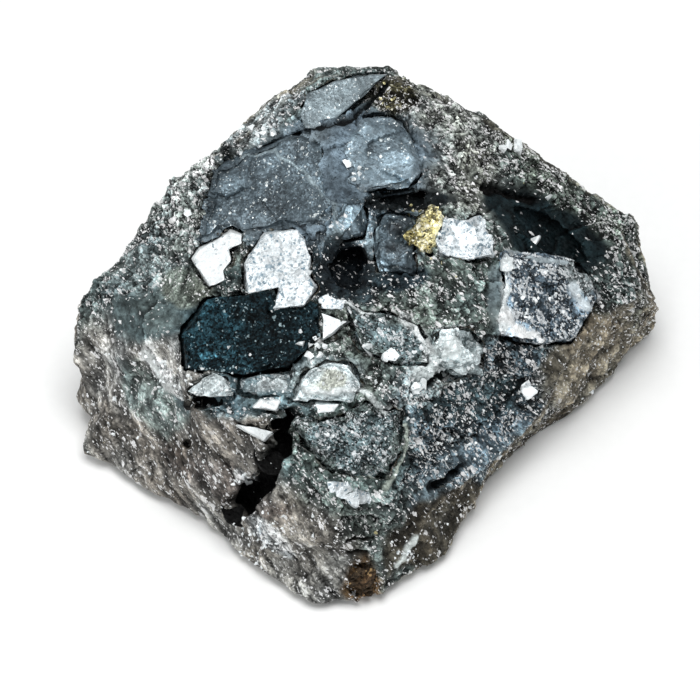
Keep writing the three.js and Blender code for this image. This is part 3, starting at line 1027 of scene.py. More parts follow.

# The darkest zones, in the valley, the cavity and round it, below the dark crystal, beneath the dome and in
# the hole by the slab, are painted shade, near black.
ZONES = (
    Zone("left flank", -17.5, -10.0, 13.5, 8.5, -38, "#6c6964", 0.25, 1.0),
    Zone("foot of the left flank", -7.5, -20.5, 9.0, 5.0, -38, "#75736e", 0.3, 1.0),
    Zone("top of the left flank", -21.5, -2.5, 5.5, 5.0, -60, "#8c8b87", 0.3, 1.0),
    Zone("teal stain of the left flank", -20.5, -6.5, 4.0, 1.8, -50, "#7c8784", 0.3, 0.8),
    Zone("dark stain of the left flank", -13.5, -14.5, 6.0, 1.8, -30, "#57524e", 0.25, 1.0),
    Zone("smooth patch of the left flank", -20.3, 2.3, 4.6, 3.2, 10, "#4d595a", 0.15, 0.3),
    Zone("right shoulder", 9.5, 17.0, 9.5, 5.0, -30, "#858a85", 0.9),
    Zone("right rim", 19.5, 13.5, 9.0, 3.6, -42, "#626d68", 0.9),
    Zone("middle of the right side", 9.5, 4.5, 7.0, 5.0, 0, "#57625f", 0.6),
    Zone("valley behind the block", 17.2, 9.0, 7.8, 3.2, -38, "#0f1a1d", 0.12, 0.0, True),
    Zone("right corner", 24.0, 3.0, 4.0, 3.6, 0, "#454f4e", 0.8),
    Zone("strip beside the block", 12.2, 3.4, 3.2, 0.9, 90, "#5f6a6c", 0.0),
    Zone("crystal mush at the middle", 3.0, 0.8, 6.0, 4.4, -10, "#69746f", 0.6),
    Zone("lower right face", 10.0, -8.0, 10.0, 7.0, 20, "#46535a", 0.8),
    Zone("dark of the lower right face", 9.0, -6.5, 5.0, 2.2, 10, "#36454a", 0.6),
    Zone("feathered edge", 9.5, -13.0, 6.5, 2.4, 38, "#5d6c74", 0.4, 0.9),
    Zone("lower middle", -2.5, -11.0, 6.5, 5.5, 0, "#5a6866", 0.5),
    Zone("band below the dark crystal", -10.5, -5.8, 7.0, 2.4, 0, "#64777d", 0.3),
    Zone("pale flap", -4.2, -4.4, 4.6, 2.1, 8, "#8d9a9d", 0.35, 0.3),
    Zone("pale patch", 6.6, -3.2, 4.6, 2.2, 42, "#9aa9ac", 0.7),
    Zone("painted shade under the dark crystal", -11.0, 0.2, 6.5, 3.9, 0, "#1b2a2f", 0.2, 0.0, True),
    # The white streaks and the white spot are pale streaks with painted glints of the light on them.
    Zone("white streaks and painted glints of the left flank", -19.4, -4.0, 2.8, 0.75, -48, "#d5d9d8", 0.5, 1.0),
    Zone("white streaks and painted glints of the foot", -9.3, -19.3, 3.4, 0.9, -40, "#c9cdce", 0.5, 1.0),
    Zone("white spot and painted glint beside the crack", -11.7, -13.9, 1.1, 0.55, -45, "#dadddd", 0.6, 0.6),
    Zone("white crust over the crown", -4.0, 26.0, 3.6, 1.0, 16, "#9aa4a5", 0.6),
    Zone("grown faces of the upper group", -3.5, 14.6, 10.5, 6.8, 22, "#5a666e", 0.1, 0.0, True),
    Zone("curtain below the dome", 1.2, 9.3, 4.8, 3.4, 0, "#687881", 0.3, 0.8),
    Zone("painted shade round the cavity", -2.2, 5.6, 4.4, 3.0, -20, "#364247", 0.5),
    Zone("cavity", -1.9, 6.0, 2.7, 2.9, 10, "#12181c", 0.2, 0.0, True),
    Zone("shadow below the columns", 3.2, 5.0, 3.0, 1.3, 15, "#222d32", 0.4, 0.0, True),
    Zone("painted shade under the dome", 3.2, 12.4, 4.4, 1.0, 4, "#13181a", 0.2, 0.0, True),
    Zone("foot of the dark crystal", -14.0, 5.0, 4.0, 1.2, 20, "#434f4f", 0.3),
    Zone("left rim", -17.5, 11.5, 7.5, 4.6, 47, "#929d9b", 1.0),
    Zone("left shoulder", -20.5, 6.4, 4.6, 2.2, 30, "#7d8989", 0.6),
    Zone("rim beside the bright crystal", -17.0, 4.4, 3.0, 1.8, 0, "#6f766e", 0.4),
    Zone("painted shade in the hole beside the slab", -13.2, 17.4, 1.1, 0.7, 60, "#101516", 0.3, 0.0, True),
    Zone("crust of the upper edge", -9.6, 20.6, 4.0, 1.8, 42, "#8a9598", 0.7),
    Zone("stained rim", -7.6, 23.4, 2.4, 1.0, 28, "#948f80", 0.3),
    Zone("brassy grit beside the crown", 2.2, 22.4, 2.4, 1.8, -30, "#4d4b3a", 0.9),
    # The olive flanks are darkened with painted shade where they are undercut.
    Zone("olive flank in painted shade, right", 21.0, -2.4, 6.0, 3.0, 48, "#756f62", 0.2, 0.7),
    Zone("olive flank in painted shade, front", 6.0, -19.0, 6.0, 2.6, 40, "#38352e", 0.2, 0.7),
    Zone("rusty foot", -0.6, -23.6, 1.8, 2.6, 0, "#5d4a34", 0.4, 0.3),
)

# Sunk seams are painted near black: painted shade in the cracks, holes, grooves, gaps and between the
# layers. The bright edges of the block, the front facet, the lower shard and the curved edge, and the
# bright streaks, are painted highlights.
SEAMS = (
    Seam("edge over the front facet", ((-6.2, -5.4), (-1.2, -5.4), (1.8, -7.0)), 0.34, 0.35, "#e3eaea"),
    Seam("edge beside the lower shard", ((-2.5, 2.9), (-0.5, 1.7)), 0.22, 0.3, "#e4eaea"),
    Seam("right edge of the front facet", ((1.9, -14.6), (3.4, -11.8), (3.7, -8.8)), 0.3, 0.25, "#a9b2a9"),
    Seam("curved edge", ((3.1, 1.4), (4.4, 0.6), (5.4, -0.6), (5.8, -1.8)), 0.62, 0.3, "#eef3f3"),
    Seam("shadow inside the curved edge", ((2.9, 0.3), (4.2, -0.7), (4.9, -2.4)), 0.4, -0.3, "#18221f"),
    Seam("pale sweep", ((4.9, -3.8), (6.6, -2.6), (8.2, -1.3)), 1.3, 0.12, "#e4ecec"),
    Seam("hole under the pale sweep", ((5.9, -4.9), (6.8, -4.3)), 0.5, -0.6, "#050707"),
    Seam("shadow under the pale sweep", ((6.8, -3.9), (8.6, -3.2), (10.8, -2.9)), 0.3, -0.35, "#1a2225"),
    Seam(
        "line across the slab",
        ((-14.2, 16.4), (-9.0, 17.4), (-6.0, 15.2), (-4.2, 12.8)),
        0.2,
        0.12,
        "#8b9aa0",
    ),
    Seam("gap under the crown", ((-6.0, 19.1), (-2.0, 20.0), (1.8, 23.8)), 0.38, -0.45, "#0e1315"),
    Seam("crack above the valley", ((11.4, 13.9), (13.4, 13.2), (15.6, 12.4)), 0.6, -0.8, "#050607"),
    Seam("left edge of the curtain", ((-3.3, 12.2), (-3.0, 9.4)), 0.3, 0.2, "#8d9ca2"),
    Seam("right edge of the curtain", ((0.6, 10.6), (0.9, 8.8)), 0.22, 0.2, "#7f9097"),
    Seam("bright edge of the block", ((13.1, 7.6), (12.9, 3.0), (12.8, 0.2)), 0.5, 0.15, "#eaf0f1"),
    Seam("bright foot of the block", ((12.9, 1.2), (13.8, 0.2), (15.9, -0.4)), 0.85, 0.15, "#f6f8f8"),
    Seam("bright top of the block", ((13.2, 7.6), (16.0, 7.0), (19.0, 6.6)), 0.25, 0.1, "#aab6bb"),
    Seam("pale spot of the block", ((19.3, 4.4), (20.6, 2.6)), 0.65, 0.08, "#d3dde2"),
    Seam("crack under the block", ((12.6, -0.6), (16.0, -1.1)), 0.35, -0.5, "#050606"),
    Seam(
        "crack of the flank",
        ((-8.1, -8.4), (-8.6, -11.2), (-9.9, -14.2), (-12.5, -16.9)),
        1.3,
        -1.3,
        "#020202",
    ),
    Seam("head of the flank's crack", ((-8.7, -10.8), (-9.2, -12.8)), 1.5, -0.3, "#020202"),
    Seam("slot under the shelf", ((-17.3, -6.8), (-14.0, -6.5)), 0.4, -0.5, "#090b0b"),
    Seam("front right groove", ((6.0, -14.9), (8.9, -12.8)), 0.45, -0.5, "#10161a"),
    Seam("layers at the foot", ((-1.9, -20.0), (0.2, -19.4)), 0.3, -0.4, "#14120f"),
    Seam("lower layers at the foot", ((-1.8, -21.2), (0.0, -20.8)), 0.25, -0.35, "#14120f"),
    Seam("bright streak of the front", ((2.7, -22.0), (4.6, -19.4)), 0.35, 0.15, "#dfe6e4"),
    Seam("bright streak of the flank", ((-21.2, -2.2), (-18.8, -5.2)), 0.5, 0.2, "#dfe3e2"),
)


# The grown mass


@dataclass
class OreMass:
    """The one grown and broken mass that holds every crystal.

    Attributes:
        voxel: Width of its faces, in millimetres.
        seat_gap: Width that is filled between the mass and a crystal's sides, in millimetres.
        soft_gap: The same for a crystal that has grown together with the mass.
        seat_depth: How far the mass ends below a crystal's face, in millimetres.
        soft_depth: The same where it has grown together with the mass.
        most_faces: Most triangles it may have.
        chunk, medium, fine: The three sizes of grain that it breaks into.
        splinter: The long grains of the splintered layers.
        swell, roughness: The slowest and the finest of its relief.
        stain, warmth: Slow changes of its brightness and of its hue.
        layering: Relief of the splintered layers.
        layer_stretch: How far that relief is drawn out along the layers, from 0 to 1.
        streak_calm: How far streaks take the place of grains.
        streak_height, grain_height: Height of the layers where they are strongest and elsewhere.
        hollow_shade: How much darker a millimetre of hollow is painted, as painted shade; a rise is painted
            lighter.
        joint_width: Gap between grains where a joint begins and where it is full, in millimetres.
        joint_depth, joint_shade: Depth of the joints in millimetres, and how dark they are.
        pit_width: Distance from a pit's middle where it begins and where it is full, in millimetres.
        pit_depth, pit_shade: Depth of the pits in millimetres, and how dark they are painted, as painted
            shade in the pit.
        pit_luck: Luck from which a grain has fallen out and left a pit.
        rest_grain: Coarseness of the crystal side outside its zones.
        side_grain, side_streak: Coarseness and streakiness of its sides.
        lift: Brightness that makes up for the shadow between its grains.
        fleck_light: Share of the brightness that comes from flecks where the mass is grittiest.
        tones, tints: Least and most of its brightness and of its linear colour.
        crystals: The crystals that stand in it.
        joined: Pairs of crystals with the gap between them filled, and how near to the other crystal
            the points of such a filling lie, in millimetres.
    """

    voxel: float = 0.23
    seat_gap: float = 0.4
    soft_gap: float = 0.9
    seat_depth: float = 0.3
    soft_depth: float = 0.2
    most_faces: int = 192000
    chunk: GrainKind = GrainKind(size=4.6, seed=3, slope=0.13, step=0.1)
    medium: GrainKind = GrainKind(size=1.7, seed=13, slope=0.24, step=0.09)
    fine: GrainKind = GrainKind(size=0.8, seed=23, slope=0.42, step=0.1)
    splinter: GrainKind = GrainKind(size=0.7, seed=65, slope=0.6, step=0.4)
    swell: Swell = Swell(height=0.2, size=7.0, seed=31)
    roughness: Swell = Swell(height=0.04, size=0.5, seed=41)
    stain: Swell = Swell(height=0.4, size=3.6, seed=51, octaves=3)
    warmth: Swell = Swell(height=0.08, size=2.6, seed=55)
    layering: Swell = Swell(height=1.0, size=0.95, seed=61, octaves=3)
    layer_stretch: float = 0.86
    streak_calm: float = 0.6
    streak_height: float = 0.26
    grain_height: float = 0.05
    hollow_shade: float = 5.0
    joint_width: tuple[float, float] = (0.16, 0.03)
    joint_depth: float = 0.08
    joint_shade: float = 0.6
    pit_width: tuple[float, float] = (0.75, 0.35)
    pit_depth: float = 0.45
    pit_shade: float = 0.85
    pit_luck: float = 0.9
    rest_grain: float = 0.6
    side_grain: float = 0.35
    side_streak: float = 0.7
    lift: float = 1.5
    fleck_light: float = 0.4
    tones: tuple[float, float] = (0.1, 3.5)
    tints: tuple[float, float] = (0.002, 0.92)
    crystals: tuple["Crystal", ...] = ()
    joined: tuple[tuple[str, str, float], ...] = (
        ("slab_crystal", "dome_crystal", 4.5),
        ("slab_crystal", "column_crystal_left", 1.5),
    )

    def seat(self, crystal: "Crystal") -> Skin:
        """The filling under and around one crystal.

        Args:
            crystal: The crystal.

        Returns:
            The crystal's shape, widened to meet the mass and sunk below the crystal's face.
        """
        solid = crystal.solid()
        depth = self.soft_depth if crystal.melted else self.seat_depth
        gap = self.soft_gap if crystal.melted else self.seat_gap
        flat = solid.face_vectors()
        facing = flat[flat @ OUTWARD > 0.3 * np.linalg.norm(flat, axis=1)].sum(axis=0)
        facing = facing / np.linalg.norm(facing)
        normals = solid.normals()
        aside = normals - np.outer(normals @ facing, facing)
        length = np.linalg.norm(aside, axis=1, keepdims=True)
        aside = np.where(length > 0.2, aside / np.maximum(length, 1e-9), 0.0)
        return Skin(solid.points + aside * gap - facing * depth, solid.faces)

    def join(self, one: Skin, other: Skin, reach: float) -> Skin:
        """The filling between two crystals that have grown together.

        Args:
            one: The seat of the first crystal.
            other: The seat of the second.
            reach: How near to the other crystal the filling's points lie, in millimetres.

        Returns:
            A convex solid between their nearest parts.
        """
        apart = np.linalg.norm(one.points[:, None] - other.points[None], axis=2)
        near_one = one.points[apart.min(axis=1) < reach]
        near_other = other.points[apart.min(axis=0) < reach]
        body = bmesh.new()
        add_hull(body, np.vstack([near_one, near_other]))
        mesh = bpy.data.meshes.new("join")
        body.to_mesh(mesh)
        body.free()
        return Skin.of(mesh, 1.0)

    def build(self) -> Skin:
        """Fuses the mass with the seats of its crystals and breaks its surface.

        Returns:
            The finished surface, painted.
        """
        mass = Skin.of(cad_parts["ore_matrix"].data)
        seats = {crystal.node: self.seat(crystal) for crystal in self.crystals}
        joins = [self.join(seats[one], seats[other], reach) for one, other, reach in self.joined]
        whole = Skin.joined([mass, *seats.values(), *joins])
        skin = changed(whole, "REMESH", mode="VOXEL", voxel_size=self.voxel, adaptivity=0)
        log.info("ore fused: %d faces", len(skin.faces))
        covered = self.covered(skin)
        underside = smooth(0.3, 0.1, skin.points[:, 2])
        hidden = np.round(np.maximum(covered, underside) * 4) / 4
        if len(skin.faces) > self.most_faces:
            skin = changed(skin, "DECIMATE", hidden, ratio=self.most_faces / len(skin.faces))
            covered = self.covered(skin)
        log.info("ore thinned: %d faces", len(skin.faces))
        return self.broken(skin, covered)

    def covered(self, skin: Skin) -> Array:
        """Finds where the mass lies under a crystal.

        Args:
            skin: The mass.

        Returns:
            1 for each point under a crystal and 0 for the rest.
        """
        joined = Skin.joined([crystal.solid() for crystal in self.crystals])
        tree = BVHTree.FromPolygons(joined.points.tolist(), joined.faces.tolist())
        above = Vector(OUTWARD)
        reach = 2.5
        return np.array([float(tree.ray_cast(Vector(p), above, reach)[0] is not None) for p in skin.points])

    def broken(self, skin: Skin, covered: Array) -> Skin:
        """Moves the surface to its broken shape and paints it.

        Args:
            skin: The fused mass.
            covered: 1 for each point under a crystal.

        Returns:
            The shaped and painted mass.
        """
        normals = skin.smoothed(skin.normals(), 6)
        normals /= np.maximum(np.linalg.norm(normals, axis=1, keepdims=True), 1e-9)
        face = on_face(skin.points)
        steep = smooth(0.3, -0.15, normals @ OUTWARD)
        colour, grain, streak = self.zoned(face, normals, steep)

        chunks = Grains.among(skin.points, self.chunk)
        medium = Grains.among(skin.points, self.medium)
        fine = Grains.among(skin.points, self.fine)
        streaks = self.streaked(skin.points)
        calm = 1 - self.streak_calm * streak
        rise = self.swell.at(skin.points)
        rise += chunks.facets(skin.points) * calm
        rise += medium.facets(skin.points) * (0.2 + 0.8 * grain) * calm
        rise += fine.facets(skin.points) * (0.1 + grain) * calm
        rise += (self.streak_height * streak + self.grain_height) * streaks
        rise += self.roughness.at(skin.points)

        # Light grains stand beside dark ones; streak crests get a painted highlight, and hollows and pits
        # get painted shade.
        grit = np.clip(1.3 * grain - 0.12 + 0.22 * streak, 0, 1)
        tone = self.lift * (1 - self.fleck_light * grit) * (1 + 0.45 * (chunks.luck - 0.5) * calm)
        tone *= 1 + 1.1 * (medium.luck - 0.5) * (0.2 + grain)
        tone *= 1 + (1.9 * fine.luck**2 - 0.6) * (0.1 + grain) * calm
        tone *= 1 + self.stain.at(skin.points)
        crests = 2.5 * np.clip(streaks - 0.25, 0, 1)
        tone *= 1 + streak * np.clip(1.6 * streaks + crests, -0.6, 2.5)
        hollows = rise - skin.smoothed(rise, 5)
        tone *= np.clip(1 + self.hollow_shade * hollows, 0.2, 2.2)
        joint = smooth(*self.joint_width, fine.gap) * grain * calm
        tone *= 1 - self.joint_shade * joint
        rise -= self.joint_depth * joint
        pits = (medium.luck > self.pit_luck) * smooth(*self.pit_width, medium.near)
        pits = pits * smooth(0.2, 0.5, grain)
        rise -= self.pit_depth * pits
        tone *= 1 - self.pit_shade * pits
        warmth = self.warmth.at(skin.points)[:, None] * np.array([1, 0, -1])
        colour = colour * (1 + warmth)

        tint = colour * np.clip(tone, *self.tones)[:, None]
        front = smooth(-0.6, -0.1, normals @ OUTWARD)
        flat = wandering(face)
        for seam in SEAMS:
            grit *= 1 - seam.drawn(flat, front, rise, tint, np.ones(3))
        rise = rise * (1 - covered) + covered * np.clip(rise * 0.4, -0.3, 0.03)
        rise *= smooth(0.0, 1.2, skin.points[:, 2])
        moved = skin.points + normals * rise[:, None]
        moved[:, 2] = np.maximum(moved[:, 2], 0.0)
        return Skin(moved, skin.faces, np.clip(tint, *self.tints), grit)

    def zoned(self, face: Array, normals: Array, steep: Array) -> tuple[Array, Array, Array]:
        """Colour and coarseness of each place before its grains are told apart.

        Args:
            face: Places on the crystal face's plane.
            normals: Direction out of the surface at each.
            steep: 1 where the surface is a side of the specimen and 0 where it is the crystal face.

        Returns:
            Linear colour, coarseness and streakiness of each place.
        """
        left = smooth(4.0, -6.0, face[:, 0] + 0.5 * face[:, 1] + 8)
        steep = np.maximum(steep, (1 - left) * smooth(0.55, 0.25, normals @ OUTWARD))
        left = left[:, None]
        behind = smooth(0.3, 0.8, normals[:, 1])[:, None]
        side = left * np.array(linear(FLANK_TAUPE)[:3]) + (1 - left) * np.array(linear(FLANK_OLIVE)[:3])
        side = side * (1 - behind) + np.array(linear(BACK_GREY)[:3]) * behind
        colour = np.tile(np.array(linear(GROUND)[:3]), (len(face), 1))
        grain = np.full(len(face), self.rest_grain)
        streak = np.zeros(len(face))
        hollow = np.zeros(len(face))
        ragged = ragged_edge(face)
        for zone in ZONES:
            share = zone.share(face, ragged)
            if zone.bare:
                hollow = np.maximum(hollow, share)
            colour += (np.array(linear(zone.colour)[:3]) - colour) * share[:, None]
            grain += (zone.grain - grain) * share
            streak += (zone.streak - streak) * share
        steep = steep * (1 - hollow * smooth(-0.45, -0.15, normals @ OUTWARD))
        colour += (side - colour) * steep[:, None]
        grain += (self.side_grain - grain) * steep
        streak += (self.side_streak - streak) * steep
        return colour, grain, streak

    def streaked(self, points: Array) -> Array:
        """Splintered layers that run down the sides of the mass.

        Args:
            points: Places on the surface.

        Returns:
            Height of each place, from about -1 to 1.
        """
        along = np.array(LAYERS)
        squeezed = points - np.outer(points @ along, along) * self.layer_stretch
        splinters = Grains.among(squeezed, self.splinter).facets(squeezed)
        return self.layering.at(squeezed) + 0.5 * splinters


# Crystals


class Cut(Enum):
    """How a crystal's face was left: grown or cleaved flat, or broken rough."""

    FLAT = "flat"
    ROUGH = "rough"


# Distances from a sharp edge at which something begins and is full, in millimetres: wear, the outline's
# drift, the sinking of a rim into the mass and its fading to the mass's colour
WORN = (0.9, 0.0)
DRIFTING = (2.0, 0.3)
SINKING = (1.1, 0.0)
FADING = (0.9, 0.1)
# How far such a distance strays, in millimetres
STRAY = 0.9
# Darkest and lightest that relief makes a place, as painted shade in hollows and painted light on rises,
# and that a place of a crystal may be
HOLLOW_SHADE_AND_LIGHT = (0.4, 1.8)
CRYSTAL_TONES = (0.12, 4.0)


@dataclass
class Crystal:
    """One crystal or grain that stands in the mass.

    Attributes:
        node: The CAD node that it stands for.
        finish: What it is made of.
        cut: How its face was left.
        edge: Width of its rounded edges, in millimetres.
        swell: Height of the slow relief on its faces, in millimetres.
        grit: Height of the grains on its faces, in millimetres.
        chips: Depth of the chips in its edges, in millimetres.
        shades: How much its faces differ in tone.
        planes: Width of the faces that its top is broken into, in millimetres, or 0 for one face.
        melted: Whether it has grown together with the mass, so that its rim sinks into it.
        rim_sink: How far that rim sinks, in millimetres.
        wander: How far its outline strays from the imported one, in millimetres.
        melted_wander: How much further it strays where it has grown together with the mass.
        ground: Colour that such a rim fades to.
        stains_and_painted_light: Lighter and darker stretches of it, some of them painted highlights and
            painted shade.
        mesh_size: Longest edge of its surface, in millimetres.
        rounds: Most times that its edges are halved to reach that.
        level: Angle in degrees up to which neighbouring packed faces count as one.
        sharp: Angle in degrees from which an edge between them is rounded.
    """

    node: str
    finish: Finish
    cut: Cut = Cut.FLAT
    edge: float = 0.12
    swell: float = 0.1
    grit: float = 0.03
    chips: float = 0.25
    shades: float = 0.25
    planes: float = 0.0
    melted: bool = False
    rim_sink: float = 0.32
    wander: float = 0.22
    melted_wander: float = 0.33
    ground: str = GROUND
    stains_and_painted_light: tuple[Shade, ...] = ()
    mesh_size: float = 0.24
    rounds: int = 9
    level: float = 2
    sharp: float = 20

    def solid(self) -> Skin:
        """The crystal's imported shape."""
        return Skin.of(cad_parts[self.node].data)

    def refined(self) -> tuple[Skin, Array]:
        """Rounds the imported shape's edges and divides its faces finely.

        Returns:
            The surface, and each point's distance to the nearest sharp edge, in millimetres.
        """
        body = bmesh.new()
        body.from_mesh(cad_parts[self.node].data)
        bmesh.ops.scale(body, vec=(1 / MM,) * 3, verts=body.verts)
        bmesh.ops.remove_doubles(body, verts=body.verts, dist=1e-3)
        level, sharp = math.radians(self.level), math.radians(self.sharp)
        bmesh.ops.dissolve_limit(body, angle_limit=level, verts=body.verts, edges=body.edges)
        edges = [e for e in body.edges if e.is_manifold and e.calc_face_angle() > sharp]
        lines = np.array([[list(e.verts[0].co), list(e.verts[1].co)] for e in edges])
        bmesh.ops.bevel(
            body, geom=edges, offset=self.edge, segments=2, profile=0.5, affect="EDGES", clamp_overlap=True
        )
        bmesh.ops.triangulate(body, faces=body.faces)
        for _ in range(self.rounds):
            long = [e for e in body.edges if e.calc_length() > self.mesh_size]
            if not long:
                break
            bmesh.ops.subdivide_edges(body, edges=long, cuts=1)
            bmesh.ops.triangulate(body, faces=[f for f in body.faces if len(f.verts) > 3])
        mesh = bpy.data.meshes.new(self.node)
        body.to_mesh(mesh)
        body.free()
        skin = Skin.of(mesh, 1.0)
        away = np.full(len(skin.points), FAR)
        for first, last in lines:
            run = last - first
            part = np.clip((skin.points - first) @ run / max(run @ run, 1e-9), 0, 1)
            away = np.minimum(away, np.linalg.norm(skin.points - first - part[:, None] * run, axis=1))
        return skin, away

    @property
    def seed(self) -> int:
        """Picks the crystal's own patterns."""
        return sum(ord(letter) for letter in self.node)

    def drifted(self, skin: Skin, away: Array) -> Array:
        """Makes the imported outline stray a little, in the plane of the crystal face.

        Args:
            skin: The refined shape.
            away: Distance of each point to the nearest sharp edge, in millimetres.

        Returns:
            The shifted points, in millimetres.
        """
        wander = self.wander + self.melted_wander * self.melted
        swells = [Swell(wander, 1.8, self.seed + 1 + axis) for axis in range(3)]
        drift = np.column_stack([swell.at(skin.points) for swell in swells])
        outer = smooth(*DRIFTING, away)[:, None]
        return skin.points + (drift - (drift @ OUTWARD)[:, None] * OUTWARD) * outer

    def relief(self, skin: Skin, away: Array) -> tuple[Array, Array]:
        """Works out the grown steps, grains and chips of the faces.

        Args:
            skin: The refined shape.
            away: Distance of each point to the nearest sharp edge, in millimetres.

        Returns:
            Height in millimetres and brightness of each point, with painted shade in the hollows and
            painted light on the rises.
        """
        places, seed = skin.points, self.seed
        rim = smooth(*WORN, away)
        rise = Swell(self.swell, 4.0, seed).at(places)
        fine = Grains.among(places, GrainKind(size=0.6, seed=seed + 20, slope=1.2, step=0.6))
        rise += self.grit * (fine.facets(places) + rolling(places, 0.5, seed + 40, 2))
        tone = 1 + self.shades * rolling(places, 3.0, seed + 70, 3) * 1.4
        tone *= 1 + 0.5 * self.shades * (fine.luck - 0.5)
        if self.planes:
            parts = Grains.among(places, GrainKind(self.planes, seed + 30, slope=0.12, step=0.05))
            rise += parts.facets(places)
            tone *= 1 + 0.9 * self.shades * (parts.luck - 0.5)
        broken = np.clip(rolling(places, 1.3, seed + 60, 2) * 1.8 - 0.25, 0, 1)
        rise -= self.chips * broken * rim
        if self.melted:
            rise -= self.rim_sink * smooth(*SINKING, away + STRAY * rolling(places, 1.6, seed + 65, 2))
        tone *= 1 + 0.35 * rim * rolling(places, 0.8, seed + 80, 2)
        # Painted shade in the hollows of the relief and painted light on its rises
        tone *= np.clip(1 + 3.0 * (rise - skin.smoothed(rise, 3)), *HOLLOW_SHADE_AND_LIGHT)
        if self.cut is Cut.ROUGH:
            lumps = Grains.among(places, GrainKind(size=1.1, seed=seed + 90, slope=0.35, step=0.12))
            rise += lumps.facets(places)
            tone *= 1 + 0.7 * (lumps.luck - 0.5)
        return rise, tone

    def painted(self, skin: Skin, away: Array, rise: Array, tone: Array) -> tuple[Array, Array]:
        """Adds the lighter and darker stretches, some of them painted highlights and shade, the fading rim
        and the seams, which also change the relief in place.

        Args:
            skin: The refined shape.
            away: Distance of each point to the nearest sharp edge, in millimetres.
            rise: Height of each point, in millimetres.
            tone: Brightness of each point.

        Returns:
            Tint and grit of each point.
        """
        face = on_face(skin.points)
        tint = np.repeat(np.clip(tone, *CRYSTAL_TONES)[:, None], 3, axis=1)
        ragged = ragged_edge(face)
        # Each stretch is a stain, a painted highlight or painted shade
        for stain in self.stains_and_painted_light:
            change = stain.tone * np.array(linear(stain.tinge)[:3]) - 1
            tint *= 1 + change * stain.share(face, ragged)[:, None]
        own = np.array(linear(self.finish.colour)[:3])
        if self.melted:
            buried = smooth(*FADING, away + STRAY * rolling(skin.points, 1.2, self.seed + 95, 2))
            tint += (np.array(linear(self.ground)[:3]) / own - tint) * buried[:, None]
        front = smooth(0.2, 0.5, skin.normals() @ OUTWARD)
        flat = wandering(face)
        grit = np.ones(len(face))
        for seam in SEAMS:
            if seam.rise > 0:
                grit *= 1 - seam.drawn(flat, front, rise, tint, own)
        return tint, grit

    def build(self) -> bpy.types.Object:
        """Gives the crystal its grown or broken surface and its finish.

        Returns:
            The finished piece.
        """
        skin, away = self.refined()
        rise, tone = self.relief(skin, away)
        tint, grit = self.painted(skin, away, rise, tone)
        moved = self.drifted(skin, away) + skin.normals() * rise[:, None]
        moved[:, 2] = np.maximum(moved[:, 2], 0.0)
        skin = Skin(moved, skin.faces, tint, grit)
        piece = add_piece(f"{self.node}_face", skin, self.finish, crease=28)
        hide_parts(self.node)
        return piece


SLAB_STAINS = (
    Shade("whole", -9.0, 14, 12, 12, 0, 0.74),
    Shade("pale upper left", -10.5, 16.0, 4.0, 1.4, 35, 1.5),
    Shade("dark middle", -9.0, 13.2, 4.5, 1.8, 10, 0.75),
    Shade("dusty fleck line", -5.0, 14.5, 2.4, 0.8, -40, 1.5),
)
# On the dome, the bright band and the bright lower edge are painted highlights.
DOME_TONES_AND_HIGHLIGHTS = (
    Shade("whole", 1.4, 17, 9, 9, 0, 1.2),
    Shade("pale lower half", 2.2, 15.0, 2.6, 1.2, 0, 1.35),
    Shade("bright band", 2.1, 16.4, 2.0, 0.7, 5, 2.0),
    Shade("bright lower edge", 2.0, 13.7, 3.0, 0.5, 5, 3.0),
    Shade("dull top", 2.6, 19.2, 1.8, 1.2, 0, 0.9),
)
# On the columns, the bright head and sides are painted highlights and the dark foot is painted shade.
COLUMN_HIGHLIGHTS_AND_SHADE = (
    Shade("bright head of the left one", -1.6, 11.6, 1.4, 0.9, 0, 1.9),
    Shade("bright left side of the right one", 1.4, 8.6, 2.8, 0.45, 88, 1.8),
    Shade("bright right side of the right one", 3.9, 8.0, 2.8, 0.35, 80, 1.9),
    Shade("dark foot of the right one", 3.0, 6.2, 1.6, 0.7, 0, 0.7),
)
CROWN_STAINS = (Shade("whole", -2, 22, 9, 9, 0, 1.45, "#fff7f0"),)
HEX_STAINS = (
    Shade("blacker right half", -8.0, -0.5, 4.4, 3.4, 0, 0.5),
    Shade("teal left half", -14.6, 0.0, 2.8, 3.4, 0, 1.5, "#eef9fb"),
    Shade("scuff", -15.2, -2.2, 0.8, 0.35, 0, 6.0),
)
# On the block, the bright left edge, the bright lower left and the pale right are painted highlights; the
# brown upper right is a stain.
BLOCK_STAINS_AND_HIGHLIGHTS = (
    Shade("bright left edge", 13.2, 4.0, 3.8, 0.35, 95, 4.0),
    Shade("bright lower left", 14.2, 0.3, 1.6, 0.6, -10, 6.0),
    Shade("dark middle", 16.5, 2.6, 2.6, 1.6, 0, 0.7),
    Shade("brown upper right", 19.8, 5.2, 2.2, 1.0, -40, 1.8, "#f2e2d0"),
    Shade("pale right", 19.9, 3.2, 1.6, 0.7, -60, 3.6),
)
# On the brassy grain, the white right side is a painted highlight; the left side is darker and tinged
# olive.
GOLD_TINGE_AND_HIGHLIGHT = (
    Shade("olive left side", 4.0, 9.0, 1.0, 2.4, 0, 0.65, "#f6f2dc"),
    Shade("white right side", 6.6, 10.4, 0.8, 1.6, 0, 1.5, "#ffffff"),
)
WEDGE_STAINS = (
    Shade("whole", -5, -5, 9, 9, 0, 1.3),
    Shade("dull middle", -3.5, -4.6, 1.8, 1.0, 0, 0.6, "#fbf4e6"),
)

